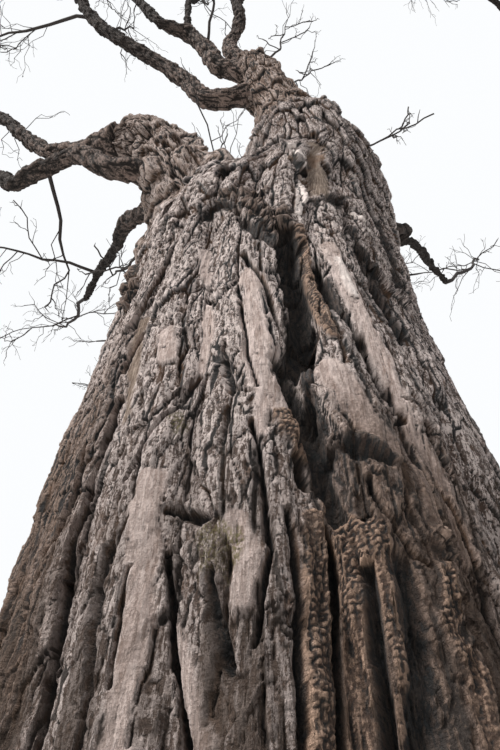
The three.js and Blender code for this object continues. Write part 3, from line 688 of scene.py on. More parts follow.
def layered_noise(x, y, z, seed, layers):
    """Noise with finer layers on it, each half as large and half as strong as the one before."""
    total, weight = 0, 1
    for layer in range(layers):
        scale = 2 ** layer
        total = total + weight * noise(x * scale, y * scale, z * scale, seed + layer)
        weight /= 2
    return total


def plates(across, up, cells_round, size, seed):
    """Bark plates on a surface that closes on itself after a number of cells. across and up are in
    cells, and size is a cell's width and height in metres. For every point: how far the nearest edge
    is in metres, how level that edge lies, from 0 to 1, the plate's own number from 0 to 1, and how
    far the point is below the plate's middle, in cells."""
    base_x, base_y = np.floor(across), np.floor(up)

    def centre(dx, dy):
        column = np.mod(base_x + dx, cells_round)
        cx = base_x + dx + 0.5 + PLATE_JITTER * (scatter(seed, column, base_y + dy) - 0.5)
        cy = base_y + dy + 0.5 + PLATE_JITTER * (scatter(seed + 1, column, base_y + dy) - 0.5)
        return cx - across, cy - up, scatter(seed + 2, column, base_y + dy)

    best = np.full(across.shape, np.inf)
    near_x, near_y, tone = (np.zeros(across.shape) for _ in range(3))
    for dx in (-1, 0, 1):
        for dy in (-1, 0, 1):
            x, y, own = centre(dx, dy)
            away = x * x + y * y
            closer = away < best
            best = np.where(closer, away, best)
            near_x = np.where(closer, x, near_x)
            near_y = np.where(closer, y, near_y)
            tone = np.where(closer, own, tone)
    edge = np.full(across.shape, np.inf)
    level = np.zeros(across.shape)
    for dx in (-2, -1, 0, 1, 2):
        for dy in (-2, -1, 0, 1, 2):
            x, y, _ = centre(dx, dy)
            gap_x, gap_y = x - near_x, y - near_y
            long = np.hypot(gap_x, gap_y)
            other = long > HAIR
            long = np.where(other, long, 1)
            inward = ((x + near_x) * gap_x + (y + near_y) * gap_y) / 2 / long
            slope = np.hypot(gap_x / long / size[0], gap_y / long / size[1])
            metres = inward / np.maximum(slope, NEARLY_NOTHING)
            closer = other & (metres < edge)
            edge = np.where(closer, metres, edge)
            level = np.where(closer, np.abs(gap_y / long), level)
    return edge, level, tone, near_y


# Meshes

# Where a tube's wall and its two ends lie on its map for baking, in shares of the map.
WALL_FROM = 0.07
END_SIZE = 0.02
END_PLACES = ((0.03, 0.03), (0.08, 0.03))


def blurred(field, wide, high):
    """A grid's box average over its neighbours, round its columns and clamped at its rows."""
    total = sum(np.roll(field, k, 1) for k in range(-wide, wide + 1)) / (2 * wide + 1)
    padded = np.vstack([total[:1]] * high + [total] + [total[-1:]] * high)
    return sum(padded[k:k + len(field)] for k in range(2 * high + 1)) / (2 * high + 1)


def outward_normals(grid, sharp=False):
    """The unit normals of a grid of rings, whose columns run the way of the sun seen from below. The
    sharp ones are those of the face after each point."""
    back = 0 if sharp else 1
    across = np.roll(grid, -1, 1) - np.roll(grid, back, 1)
    up = np.empty_like(grid)
    up[1:-1] = grid[2:] - (grid[1:-1] if sharp else grid[:-2])
    up[0], up[-1] = grid[1] - grid[0], grid[-1] - grid[-2]
    normals = np.cross(across, up)
    return normals / np.maximum(np.linalg.norm(normals, axis=2, keepdims=True), NEARLY_NOTHING)


def new_piece(name, points, faces, material, replaced, fields=None, normals=None, maps=None):
    """A mesh object from arrays: faces is a list of arrays of three-sided and four-sided faces."""
    mesh = bpy.data.meshes.new(name)
    corners = np.concatenate([array.ravel() for array in faces]).astype(np.int32)
    sizes = np.concatenate([np.full(len(array), array.shape[1]) for array in faces])
    mesh.vertices.add(len(points))
    mesh.vertices.foreach_set("co", np.ascontiguousarray(points, np.float32).ravel())
    mesh.loops.add(len(corners))
    mesh.loops.foreach_set("vertex_index", corners)
    mesh.polygons.add(len(sizes))
    starts = np.concatenate([[0], np.cumsum(sizes)[:-1]]).astype(np.int32)
    mesh.polygons.foreach_set("loop_start", starts)
    mesh.polygons.foreach_set("use_smooth", np.ones(len(sizes), bool))
    mesh.update(calc_edges=True)
    for map_name, places in (maps or {}).items():
        layer = mesh.uv_layers.new(name=map_name)
        layer.data.foreach_set("uv", np.ascontiguousarray(places, np.float32).ravel())
    for field_name, values in (fields or {}).items():
        attribute = mesh.attributes.new(field_name, "FLOAT", "POINT")
        attribute.data.foreach_set("value", np.ascontiguousarray(values, np.float32).ravel())
    if normals is not None:
        mesh.normals_split_custom_set_from_vertices(normals)
    mesh.materials.append(material)
    piece = bpy.data.objects.new(name, mesh)
    bpy.context.scene.collection.objects.link(piece)
    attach(piece, "root")
    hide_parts(*replaced)


def ring_faces(rings, sides):
    """The four-sided faces of a closed tube's wall, and the triangles of its two ends, whose middles
    are the last two points."""
    row, column = np.meshgrid(np.arange(rings - 1), np.arange(sides), indexing="ij")
    onward = (column + 1) % sides
    wall = np.stack([
        row * sides + column, row * sides + onward, (row + 1) * sides + onward,
        (row + 1) * sides + column,
    ], 2).reshape(-1, 4)
    side = np.arange(sides)
    after = (side + 1) % sides
    foot, top = rings * sides, rings * sides + 1
    first = np.stack([after, side, np.full(sides, foot)], 1)
    base = (rings - 1) * sides
    last = np.stack([base + side, base + after, np.full(sides, top)], 1)
    return wall, np.vstack([first, last])


def tube_piece(name, grid, fields, material, replaced, across, up, normals=None):
    """A closed tube from a grid of rings, with two maps: metres over the bark, and one for baking."""
    rings, sides = grid.shape[:2]
    ends = np.stack([grid[0].mean(0), grid[-1].mean(0)])
    wall, caps = ring_faces(rings, sides)
    points = np.vstack([grid.reshape(-1, 3), ends])
    values = {
        key: np.concatenate([field.ravel(), [field[0].mean(), field[-1].mean()]])
        for key, field in fields.items()
    }
    if normals is not None:
        way = grid[-1].mean(0) - grid[0].mean(0)
        normals = np.vstack([normals.reshape(-1, 3), -unit(way), unit(way)])
    row, column = np.meshgrid(np.arange(rings - 1), np.arange(sides), indexing="ij")
    rows = np.stack([row, row, row + 1, row + 1], 2).reshape(-1, 4)
    columns = np.stack([column, column + 1, column + 1, column], 2).reshape(-1, 4)
    cap_angles = np.stack([np.arange(sides) + 1, np.arange(sides), np.arange(sides) + 0.5], 1)
    spread = 2 * np.pi / sides
    out = np.array([1, 1, 0])
    disc = np.stack([np.cos(cap_angles * spread) * out, np.sin(cap_angles * spread) * out], 2)
    cap_shares = np.concatenate([
        disc * END_SIZE + END_PLACES[0], disc[:, [1, 0, 2]] * END_SIZE + END_PLACES[1],
    ])
    wall_bake = np.stack([columns / sides, WALL_FROM + (1 - WALL_FROM) * rows / (rings - 1)], 2)
    bake = np.concatenate([wall_bake.reshape(-1, 2), cap_shares.reshape(-1, 2)])
    metre_columns = np.concatenate([across, [2 * across[-1] - across[-2]]])
    wall_metres = np.stack([metre_columns[columns], up[rows]], 2)
    metres = np.concatenate([wall_metres.reshape(-1, 2), cap_shares.reshape(-1, 2)])
    maps = {"bark": metres, "OFBake": bake}
    new_piece(name, points, [wall, caps], material, replaced, values, normals, maps)


# Materials

class Signal:
    """One output socket of a shader, so that sums of signals are written as sums."""

    def __init__(self, shade, socket):
        self.shade = shade
        self.socket = socket

    def maths(self, operation, *others):
        inputs = dict(enumerate([self, *others]))
        return self.shade.node("ShaderNodeMath", {"operation": operation}, inputs)

    def __add__(self, other):
        return self.maths("ADD", other)

    __radd__ = __add__

    def __mul__(self, other):
        return self.maths("MULTIPLY", other)

    __rmul__ = __mul__

    def __sub__(self, other):
        return self.maths("SUBTRACT", other)

    def __rsub__(self, other):
        return (self * -1.0) + other

    def most(self, other):
        """The larger of the two."""
        return self.maths("MAXIMUM", other)

    def ramp(self, low, high, start=0.0, end=1.0):
        """A smooth rise from one value to another between two limits."""
        settings = {"interpolation_type": "SMOOTHSTEP", "clamp": True}
        sockets = {0: self, 1: low, 2: high, 3: start, 4: end}
        return self.shade.node("ShaderNodeMapRange", settings, sockets)


class Shade:
    """The nodes of a material or a world. node() adds one: its settings first, then the values or
    links of its sockets, and gives the output that is asked for."""

    def __init__(self, owner):
        owner.use_nodes = True
        self.owner = owner
        self.nodes = owner.node_tree.nodes
        self.links = owner.node_tree.links
        self.nodes.clear()

    def node(self, kind, settings, sockets, output=0):
        node = self.nodes.new(kind)
        for key, value in settings.items():
            setattr(node, key, value)
        for key, value in sockets.items():
            if isinstance(value, Signal):
                self.links.new(value.socket, node.inputs[key])
            else:
                node.inputs[key].default_value = value
        return Signal(self, node.outputs[output]) if len(node.outputs) else None

    def fields(self, names):
        """The values that the mesh carries at its points."""
        kind = "ShaderNodeAttribute"
        return {name: self.node(kind, {"attribute_name": name}, {}, "Fac") for name in names}

    def mix(self, factor, first, second):
        settings = {"data_type": "RGBA", "blend_type": "MIX", "clamp_factor": True}
        return self.node("ShaderNodeMix", settings, {0: factor, 6: first, 7: second}, 2)

    def place(self, kind, size):
        """A place on the object for a texture: metres in space or over the bark, by a size."""
        if kind == "space":
            source = self.node("ShaderNodeTexCoord", {}, {}, "Object")
        else:
            source = self.node("ShaderNodeUVMap", {"uv_map": "bark"}, {})
        scale = tuple(1 / s for s in size)
        return self.node("ShaderNodeVectorMath", {"operation": "MULTIPLY"}, {0: source, 1: scale})

    def grain(self, kind, size, detail=3.0, rough=0.55, band=None):
        """Noise from 0 to 1 whose lumps have the size that is given, in metres. A band of its values
        is drawn out to the full range."""
        sockets = {"Vector": self.place(kind, size), "Scale": 1.0, "Detail": detail, "Roughness": rough}
        grain = self.node("ShaderNodeTexNoise", {"noise_dimensions": "3D"}, sockets)
        return grain.ramp(*band) if band else grain

    def cells(self, kind, size, ragged):
        """How far each place is from the middle of its cell. Cells have the size that is given, and
        their ways are moved off by as much as ragged, in metres."""
        sockets = {"Vector": self.place(kind, size), "Scale": 2.0, "Detail": 3.0}
        drift = self.node("ShaderNodeTexNoise", {"noise_dimensions": "3D"}, sockets, "Color")
        share = tuple(2 * ragged / s for s in size)
        moved = {0: drift, 1: share, 2: self.place(kind, size)}
        place = self.node("ShaderNodeVectorMath", {"operation": "MULTIPLY_ADD"}, moved)
        sockets = {"Vector": place, "Scale": 1.0}
        return self.node("ShaderNodeTexVoronoi", {"feature": "F1"}, sockets, "Distance")

    def blend(self, signals, shares):
        """A sum of named signals, each times its share, on a base value."""
        total = shares["base"]
        for name, share in shares.items():
            if name != "base":
                total = total + signals[name] * share
        return total

    def coat(self, under, name, where, over, only=1.0):
        """A colour with another over it where a signal is strong, by the strength and the band that
        COATS gives it, and no more than a second signal lets through."""
        strength, *band = COATS[name]
        shown = where.ramp(*band) if band else where
        return self.mix(shown * only * strength, under, over)

    def finish(self, colour, height, roughness, bump_distance):
        bumped = self.node("ShaderNodeBump", {}, {"Height": height, "Distance": bump_distance})
        sockets = {
            "Base Color": colour, "Roughness": roughness, "Normal": bumped,
            "Specular IOR Level": DULL_SPECULAR,
        }
        surface = self.node("ShaderNodeBsdfPrincipled", {}, sockets)
        self.node("ShaderNodeOutputMaterial", {}, {"Surface": surface})
        return self.owner


# Colours of the bark
PLATE_PALE = (0.8, 0.685, 0.65, 1)
PLATE_TAN = (0.26, 0.175, 0.137, 1)
PLATE_BROWN = (0.072, 0.045, 0.034, 1)
# Partly the bark's own brown and partly painted shade, where the bark is brown.
BROWN_AND_PAINTED_SHADE_DARK = (0.095, 0.058, 0.042, 1)
BROWN_AND_PAINTED_SHADE_TAN = (0.27, 0.175, 0.125, 1)
# Painted shade low on the trunk.
PAINTED_LOW_SHADE_BROWN = (0.07, 0.048, 0.037, 1)
FLANK_RUST = (0.2, 0.108, 0.06, 1)
# Painted shade for cracks, furrows, hollows and the undersides of edges.
PAINTED_FURROW_SHADE = (0.028, 0.03, 0.032, 1)
PAINTED_FURROW_SHADE_BROWN = (0.085, 0.066, 0.057, 1)
SHADY_BROWN = (0.07, 0.05, 0.042, 1)
# A painted highlight on the raised points of rough bark.
PAINTED_HIGHLIGHT_TAN = (0.54, 0.365, 0.27, 1)
ROPY_TAN = (0.36, 0.24, 0.165, 1)
ROPY_BROWN = (0.25, 0.155, 0.105, 1)
SMOOTH_PALE = (0.67, 0.56, 0.525, 1)
SMOOTH_TAN = (0.33, 0.24, 0.205, 1)
FLAKE_WHITE = (0.8, 0.71, 0.67, 1)
BARE_TAN = (0.34, 0.27, 0.22, 1)
BARE_BROWN = (0.13, 0.09, 0.066, 1)
MOSS = (0.16, 0.14, 0.05, 1)
BOUGH_PALE = (0.42, 0.31, 0.265, 1)
BOUGH_DARK = (0.03, 0.025, 0.023, 1)
TWIG_DARK = (0.02, 0.018, 0.018, 1)
TWIG_PALE = (0.055, 0.045, 0.042, 1)

DULL_SPECULAR = 0.25

# What the bark's meshes carry at their points, and the twigs' don't.
BARK_FIELDS = (
    "tone", "chip", "edge", "cavity", "carved", "ropy", "pale", "brown", "bare", "mossy", "brown_and_painted_shade",
    "shady", "crack", "white", "painted_light_and_shade",
)
BOUGH_FIELDS = ("cavity", "tone", "thick", "crack")

# The grain of each bark: what it runs over, the size of its lumps in metres, its detail and its
# roughness, and the band of its values that is drawn out.
TRUNK_GRAINS = {
    "patches": ("space", (0.09, 0.09, 0.2), 3.0, 0.55),
    "streaks": ("bark", (0.03, 0.3, 1.0), 3.0, 0.6, (0.3, 0.7)),
    "bands": ("bark", (0.05, 0.7, 1.0), 3.0, 0.6, (0.42, 0.56)),
    "fibres": ("bark", (0.0045, 0.07, 1.0), 5.0, 0.65, (0.38, 0.62)),
    "chips": ("bark", (0.01, 0.045, 1.0), 4.0, 0.7, (0.47, 0.53)),
    "crinkles": ("bark", (0.016, 0.006, 1.0), 4.0, 0.65, (0.4, 0.6)),
    "specks": ("space", (0.006, 0.006, 0.008), 3.0, 0.7, (0.42, 0.58)),
}
GRANULES = ("bark", (0.008, 0.011, 1.0), 0.004)
GRANULE_BAND = (0.25, 0.6)
BOUGH_GRAINS = {
    "patches": ("space", (0.05, 0.05, 0.05), 3.0, 0.55),
    "scales": ("space", (0.013, 0.013, 0.02), 4.0, 0.7, (0.44, 0.56)),
    "specks": ("space", (0.005, 0.005, 0.006), 3.0, 0.7, (0.42, 0.58)),
}
TWIG_GRAIN = ("space", (0.02, 0.02, 0.02), 2.0)
FLOOR_GRAIN = ("space", (2.0, 2.0, 2.0), 2.0)

# How much of each signal goes into what makes a plate light, what wears it brown, the mixes of its
# tints, and the bumps.
TRUNK_LIGHT = {
    "base": -0.575, "tone": 0.85, "chips": 0.22, "fibres": 0.12, "crinkles": 0.04, "patches": 0.75,
    "streaks": 0.4, "pale": 0.12, "painted_light_and_shade": -0.22,
}
TRUNK_LIGHT_BAND = (0.3, 0.7)
TRUNK_WEAR = {
    "base": 1.0, "chip": -0.45, "chips": -0.35, "fibres": -0.35, "crinkles": -0.2, "specks": -0.2,
}
SMOOTH_TINT = {"base": 0.0, "streaks": 0.6, "fibres": 0.3}
BROWN_AND_PAINTED_SHADE_TINT = {"base": 0.0, "streaks": 0.4, "fibres": 0.5}
WHITE_TINT = {"base": 0.6, "chips": 0.4}
TRUNK_BUMPS = {
    "base": 0.0, "chips": 0.35, "fibres": 0.16, "crinkles": 0.16, "specks": 0.3, "granules": -0.35,
}
BOUGH_LIGHT = {"base": -0.45, "scales": 0.3, "specks": 0.15, "tone": 0.75, "patches": 0.9}
BOUGH_LIGHT_BAND = (0.35, 0.85)
BOUGH_BUMPS = {"base": 0.0, "scales": 1.0, "specks": 0.5}

# How strongly each coat covers those under it, and the band of its signal that counts, if not all.
COATS = {
    "smooth": (0.75,),
    "bare": (1.0,),
    "brown_and_painted_shade": (0.85,),
    "ropes": (0.8,),
    "wear": (0.92, 0.08, 0.4),
    "granules": (0.85,),
    "white": (1.0,),
    "painted_crack_shade": (0.97, 0.1, 0.55),
    "painted_pale_highlights": (0.35, 0.2, 1.0),
    "painted_tan_highlights": (0.8, 0.1, 0.7),
    "painted_shade_under_edges": (0.9, 0.1, 0.8),
    "rust": (0.75, 0.03, 0.3),
    "moss": (0.8,),
    "painted_low_shade": (1.0,),
    "shade": (0.9,),
    "painted_hollow_shade": (0.92, 0.15, 0.75),
    "painted_bough_hollow_shade": (0.95,),
}
RUST_BAND = (0.4, 0.65)
BOUGH_PAINTED_SHADE_BAND = (0.1, 0.6)

# How plain the pale plates are, how rough the brown bark is, and how much of each kind is spared the
# painted shade low on the trunk.
PALE_PLAINNESS = 0.9
PLAINNESS = 0.7
BROWN_ROUGHNESS = 0.6
PALE_SPARED_LOW_SHADE = 0.4
ROPE_SPARED_LOW_SHADE = 0.75
BAND_SPARED_LOW_SHADE = 0.45

# How much of the pale tint a thick bough shows, and a thin one.
THICK_PALE = 0.8
THIN_PALE = 0.06


def trunk_bark():
    """Bark in plates, from pale and smooth to brown and ropy, with dark cracks and hollows."""
    shade = Shade(bpy.data.materials.new("furrowed_trunk_bark"))
    on = shade.fields(BARK_FIELDS)
    on |= {name: shade.grain(*grain) for name, grain in TRUNK_GRAINS.items()}
    pale, ropy, edge, chips, specks = (on[name] for name in ("pale", "ropy", "edge", "chips", "specks"))
    plain = 1.0 - (pale * PALE_PLAINNESS).most(on["bare"]).most(on["white"]) * PLAINNESS
    rough = ropy.most(on["brown"] * BROWN_ROUGHNESS)
    on["granules"] = shade.cells(*GRANULES).ramp(*GRANULE_BAND) * rough
    smooth = shade.mix(shade.blend(on, SMOOTH_TINT), SMOOTH_TAN, SMOOTH_PALE)
    wood = shade.mix(on["fibres"], BARE_BROWN, BARE_TAN)
    # Partly the bark's own brown and partly painted shade.
    brown_and_painted_shade_colour = shade.mix(shade.blend(on, BROWN_AND_PAINTED_SHADE_TINT), BROWN_AND_PAINTED_SHADE_DARK, BROWN_AND_PAINTED_SHADE_TAN)
    ropes = shade.mix(on["brown"], ROPY_TAN, ROPY_BROWN)
    shadow = shade.mix(on["fibres"] * chips.most(specks), PAINTED_FURROW_SHADE, PAINTED_FURROW_SHADE_BROWN)
    # How much of the painted shade low on the trunk each kind of bark lets through.
    low_shade_share = (1.0 - (pale * PALE_SPARED_LOW_SHADE).most(ropy * ROPE_SPARED_LOW_SHADE)) * (1.0 - on["bands"] * BAND_SPARED_LOW_SHADE)

    # Painted shade makes plates darker high on the stems, and painted light makes them lighter on the left of
    # the camera's side.
    light = shade.blend(on, TRUNK_LIGHT).ramp(*TRUNK_LIGHT_BAND)
    colour = shade.mix(light, PLATE_TAN, PLATE_PALE)
    colour = shade.coat(colour, "smooth", pale, smooth)
    colour = shade.coat(colour, "bare", on["bare"], wood)
    # Partly the bark's own brown and partly painted shade, where the bark is brown.
    colour = shade.coat(colour, "brown_and_painted_shade", on["brown"], brown_and_painted_shade_colour)
    colour = shade.coat(colour, "ropes", ropy, ropes)
    colour = shade.coat(colour, "wear", shade.blend(on, TRUNK_WEAR), PLATE_BROWN, plain)
    colour = shade.coat(colour, "granules", on["granules"], PLATE_BROWN)
    colour = shade.coat(colour, "white", on["white"], FLAKE_WHITE, shade.blend(on, WHITE_TINT))
    # Painted shade in the cracks between plates, knobs and threads.
    colour = shade.coat(colour, "painted_crack_shade", on["crack"], PAINTED_FURROW_SHADE)
    # Painted highlights on points that stand over the bark round them: pale on smooth bark, tan on rough
    # bark.
    colour = shade.coat(colour, "painted_pale_highlights", edge, PLATE_PALE, 1.0 - rough)
    colour = shade.coat(colour, "painted_tan_highlights", edge, PAINTED_HIGHLIGHT_TAN, rough)
    # Painted shade under points that lie below the bark round them.
    colour = shade.coat(colour, "painted_shade_under_edges", 0.0 - edge, PAINTED_FURROW_SHADE)
    colour = shade.coat(colour, "rust", on["cavity"], FLANK_RUST, on["patches"].ramp(*RUST_BAND))
    colour = shade.coat(colour, "moss", on["mossy"], MOSS, specks)
    # Painted shade that darkens the trunk towards the ground, less on pale plates, ropes and bands.
    colour = shade.coat(colour, "painted_low_shade", on["brown_and_painted_shade"], PAINTED_LOW_SHADE_BROWN, low_shade_share)
    colour = shade.coat(colour, "shade", on["shady"], shade.mix(chips, PAINTED_FURROW_SHADE, SHADY_BROWN))
    # Painted shade in the hollows and furrows.
    colour = shade.coat(colour, "painted_hollow_shade", on["cavity"].most(on["carved"]), shadow)
    bumps = shade.blend(on, TRUNK_BUMPS) * plain
    return shade.finish(colour, bumps, roughness=0.92, bump_distance=0.011)


def bough_bark():
    """Dark scaly bark, paler on the thick boughs, with painted shade in its hollows and cracks."""
    shade = Shade(bpy.data.materials.new("scaly_bough_bark"))
    on = shade.fields(BOUGH_FIELDS)
    on |= {name: shade.grain(*grain) for name, grain in BOUGH_GRAINS.items()}
    pale = shade.blend(on, BOUGH_LIGHT).ramp(*BOUGH_LIGHT_BAND) * (on["thick"] * THICK_PALE + THIN_PALE)
    # Painted shade in the hollows and cracks.
    painted_bough_shade = on["cavity"].ramp(*BOUGH_PAINTED_SHADE_BAND).most(on["crack"].ramp(*BOUGH_PAINTED_SHADE_BAND))
    colour = shade.mix(pale, BOUGH_DARK, BOUGH_PALE)
    colour = shade.coat(colour, "painted_bough_hollow_shade", painted_bough_shade, BOUGH_DARK)
    return shade.finish(colour, shade.blend(on, BOUGH_BUMPS), roughness=0.9, bump_distance=0.006)


def twig_bark():
    """Near-black bark with fine specks."""
    shade = Shade(bpy.data.materials.new("twig_bark"))
    specks = shade.grain(*TWIG_GRAIN)
    colour = shade.mix(specks, TWIG_DARK, TWIG_PALE)
    return shade.finish(colour, specks, roughness=0.85, bump_distance=0.001)


# The trunk and the right stem

# The column's grid: how far apart its points stand in front and behind, and its rings from the ground
# up. FRONT_HALF_ANGLE and FRONT_FADE are radians, either side of the camera's side.
FRONT_STEP = 0.004
BACK_STEP = 0.014
FRONT_HALF_ANGLE = math.radians(78)
FRONT_FADE = 0.4
ANGLES_TRIED = 7200
LOW_ROW_STEP = 0.013
FINE_ROW_STEPS = (0.0052, 0.008)
TOP_ROW_STEP = 0.0055
COLUMN_TOP = COLUMN[-1, 0] * MM
FINE_FROM = 1.55
NARROW_FROM = 4.2
CORNER_REACH = 0.12
CORNER_SAMPLES = 9

# The fillet where a limb leaves the column, and how many points are looked at together.
JUNCTION_REACH = 0.16
POINTS_TOGETHER = 20000


def column_columns():
    """The angles of the column's points, close together on the side of the camera."""
    angles = np.linspace(-np.pi / 2, 1.5 * np.pi, ANGLES_TRIED, endpoint=False)
    from_front = np.abs(np.arctan2(np.sin(angles + np.pi / 2), np.cos(angles + np.pi / 2)))
    away = smooth_step(FRONT_HALF_ANGLE, FRONT_HALF_ANGLE + FRONT_FADE, from_front)
    density = NOMINAL_RADIUS / lerp(FRONT_STEP, BACK_STEP, away)
    running = np.concatenate([[0], np.cumsum(density)]) * (angles[1] - angles[0])
    count = int(running[-1])
    even = np.arange(count) * running[-1] / count
    return np.interp(even, running, np.append(angles, 1.5 * np.pi))


def column_rows():
    """The heights of the column's rings, up to where it narrows and from there."""
    heights = [0.0]
    while heights[-1] < NARROW_FROM:
        height = heights[-1]
        step = LOW_ROW_STEP
        if height > FINE_FROM:
            step = lerp(*FINE_ROW_STEPS, (height - FINE_FROM) / (NARROW_FROM - FINE_FROM))
        heights.append(height + step)
    count = round((COLUMN_TOP - NARROW_FROM) / TOP_ROW_STEP)
    return np.array(heights[:-1] + [NARROW_FROM]), np.linspace(NARROW_FROM, COLUMN_TOP, count)


def smooth_column(heights):
    """The column's radius and middle at heights in metres, with the corners between its rows rounded."""
    offsets = np.linspace(-CORNER_REACH, CORNER_REACH, CORNER_SAMPLES)
    reach = np.minimum(np.minimum(heights, COLUMN_TOP - heights) / CORNER_REACH, 1)
    spread = heights[:, None] + offsets * reach[:, None]
    values = column_at(spread.ravel() / MM)
    return [value.reshape(spread.shape).mean(1) * MM for value in values]


def bough_junction(points, skeleton, skip, reach):
    """How far a surface swells to meet the limbs that leave it, as in a fillet of that reach."""
    out = np.zeros(len(points))
    for start in range(0, len(points), POINTS_TOGETHER):
        part = points[start:start + POINTS_TOGETHER]
        gaps = skeleton.gaps(part / MM)
        gaps[:, np.isin(skeleton.names, skip)] = np.inf
        near = np.clip(reach - gaps.min(1) * MM, 0, reach)
        out[start:start + POINTS_TOGETHER] = near ** 2 / (4 * reach)
    return out


# What the camera's side of the trunk shows, by the pixels of the photograph that each way runs
# through. Furrows and pits: half width and depth in metres.
FURROWS = {
    "outer_left": (0.014, 0.06, [
        (118, 398), (109, 438), (102, 470), (86, 509), (72, 541), (68, 575), (60, 640), (48, 691),
        (40, 750)]),
    "left_branch": (0.010, 0.045, [(110, 545), (99, 589), (95, 620), (94, 659), (90, 699), (80, 750)]),
    "left_crack": (0.005, 0.02, [(128, 569), (124, 589), (119, 628), (114, 659), (111, 691)]),
    "left_middle": (0.011, 0.05, [
        (169, 561), (171, 596), (172, 628), (174, 659), (182, 691), (188, 723), (191, 750)]),
    "left_step": (0.004, 0.015, [(153, 631), (148, 667), (137, 691), (132, 715), (128, 750)]),
    "wedge": (0.013, 0.045, [(212, 569), (215, 612), (220, 636), (225, 656), (231, 667)]),
    "ledge": (0.016, 0.03, [(167, 512), (186, 515), (207, 518)]),
    "small_ledge": (0.007, 0.03, [(166, 555), (174, 554), (183, 551)]),
    "slanting_notch": (0.018, 0.03, [(201, 380), (188, 391), (180, 403)]),
    "slanting_crack": (0.006, 0.03, [(178, 405), (163, 414), (148, 436), (137, 458), (127, 481)]),
    "under_tip": (0.007, 0.035, [
        (251, 421), (260, 452), (264, 493), (268, 533), (272, 548), (266, 572), (264, 596), (260, 620),
        (255, 643)]),
    "middle": (0.008, 0.04, [
        (287, 508), (291, 540), (294, 572), (298, 604), (296, 635), (298, 675), (302, 750)]),
    "crotch": (0.05, 0.08, [
        (284, 232), (287, 250), (291, 273), (299, 305), (302, 337), (299, 361)]),
    "fork_gap": (0.02, 0.02, [(203, 219), (213, 208), (228, 206), (240, 214), (254, 232), (270, 250)]),
    "crotch_left": (0.012, 0.045, [(243, 254), (254, 269), (267, 289), (276, 321), (289, 353), (299, 379)]),
    "crotch_low": (0.032, 0.06, [
        (280, 363), (291, 388), (303, 414), (314, 434), (319, 454), (322, 478), (330, 501), (339, 517)]),
    "pit": (0.04, 0.018, [(335, 470), (345, 490), (352, 508)]),
    "under_flake": (0.024, 0.028, [(350, 446), (366, 454), (384, 461)]),
    "under_knob": (0.02, 0.055, [(301, 455), (302, 470), (303, 483)]),
    "right_long": (0.024, 0.05, [
        (315, 269), (324, 286), (335, 310), (347, 326), (358, 337), (369, 369), (386, 395), (390, 409),
        (400, 420)]),
    "right_thin": (0.006, 0.03, [(406, 399), (419, 406), (427, 419), (430, 433), (441, 454), (451, 474)]),
    "right_hollow": (0.018, 0.05, [(417, 397), (428, 412)]),
    "right_nick": (0.005, 0.02, [(406, 490), (409, 517)]),
    "right_low": (0.007, 0.035, [
        (430, 485), (441, 497), (454, 514), (464, 538), (473, 557), (481, 589), (492, 625)]),
    "right_slant": (0.007, 0.03, [(370, 478), (374, 493), (385, 513), (401, 533), (417, 554), (430, 564)]),
    "shoulder": (0.028, 0.05, [(343, 219), (347, 242), (356, 264), (369, 285), (380, 300)]),
    "shoulder_low": (0.06, 0.055, [(382, 308), (392, 322), (400, 336)]),
    "dark_face": (0.07, 0.022, [(380, 212), (388, 240), (397, 270), (405, 296)]),
    "under_white_flake": (0.03, 0.022, [(314, 197), (330, 200), (342, 196)]),
    "rope_left": (0.010, 0.05, [
        (322, 524), (330, 548), (333, 580), (334, 612), (333, 636), (336, 667), (342, 750)]),
    "rope_middle": (0.011, 0.045, [
        (371, 567), (376, 596), (378, 620), (382, 651), (387, 691), (393, 750)]),
    "brown_recess": (0.028, 0.035, [(400, 556), (410, 596), (417, 643), (424, 691), (432, 750)]),
    "rope_right": (0.008, 0.04, [(462, 596), (468, 628), (478, 652), (489, 691), (495, 739)]),
    "edge_right": (0.005, 0.025, [(449, 500), (462, 524), (473, 556), (484, 580), (498, 605)]),
    "edge_left": (0.006, 0.03, [(108, 379), (96, 403), (91, 425)]),
    "edge_left_low": (0.006, 0.03, [(86, 444), (78, 478), (71, 501), (56, 533), (43, 557), (34, 581)]),
    "short_left": (0.005, 0.02, [(143, 363), (143, 390)]),
    "short_middle": (0.006, 0.025, [(226, 353), (230, 374), (236, 387), (249, 391)]),
    "plate_side": (0.005, 0.02, [(240, 302), (246, 332), (248, 354), (254, 373), (258, 388)]),
    "plate_gap": (0.007, 0.03, [(227, 342), (226, 361), (229, 378), (235, 393)]),
    "nick": (0.006, 0.025, [(184, 329), (186, 348), (180, 362)]),
    "nick_left": (0.008, 0.02, [(172, 326), (162, 335)]),
    "upper_notch": (0.008, 0.025, [(200, 287), (215, 288)]),
    "lower_notch": (0.010, 0.03, [(202, 299), (217, 302)]),
    "slant_left": (0.008, 0.035, [(156, 319), (143, 332), (130, 351), (121, 370)]),
    "slant_high": (0.008, 0.03, [(180, 240), (172, 252), (162, 272), (149, 294), (138, 316), (130, 332)]),
    "short_low": (0.006, 0.02, [(229, 405), (226, 429), (223, 445)]),
}

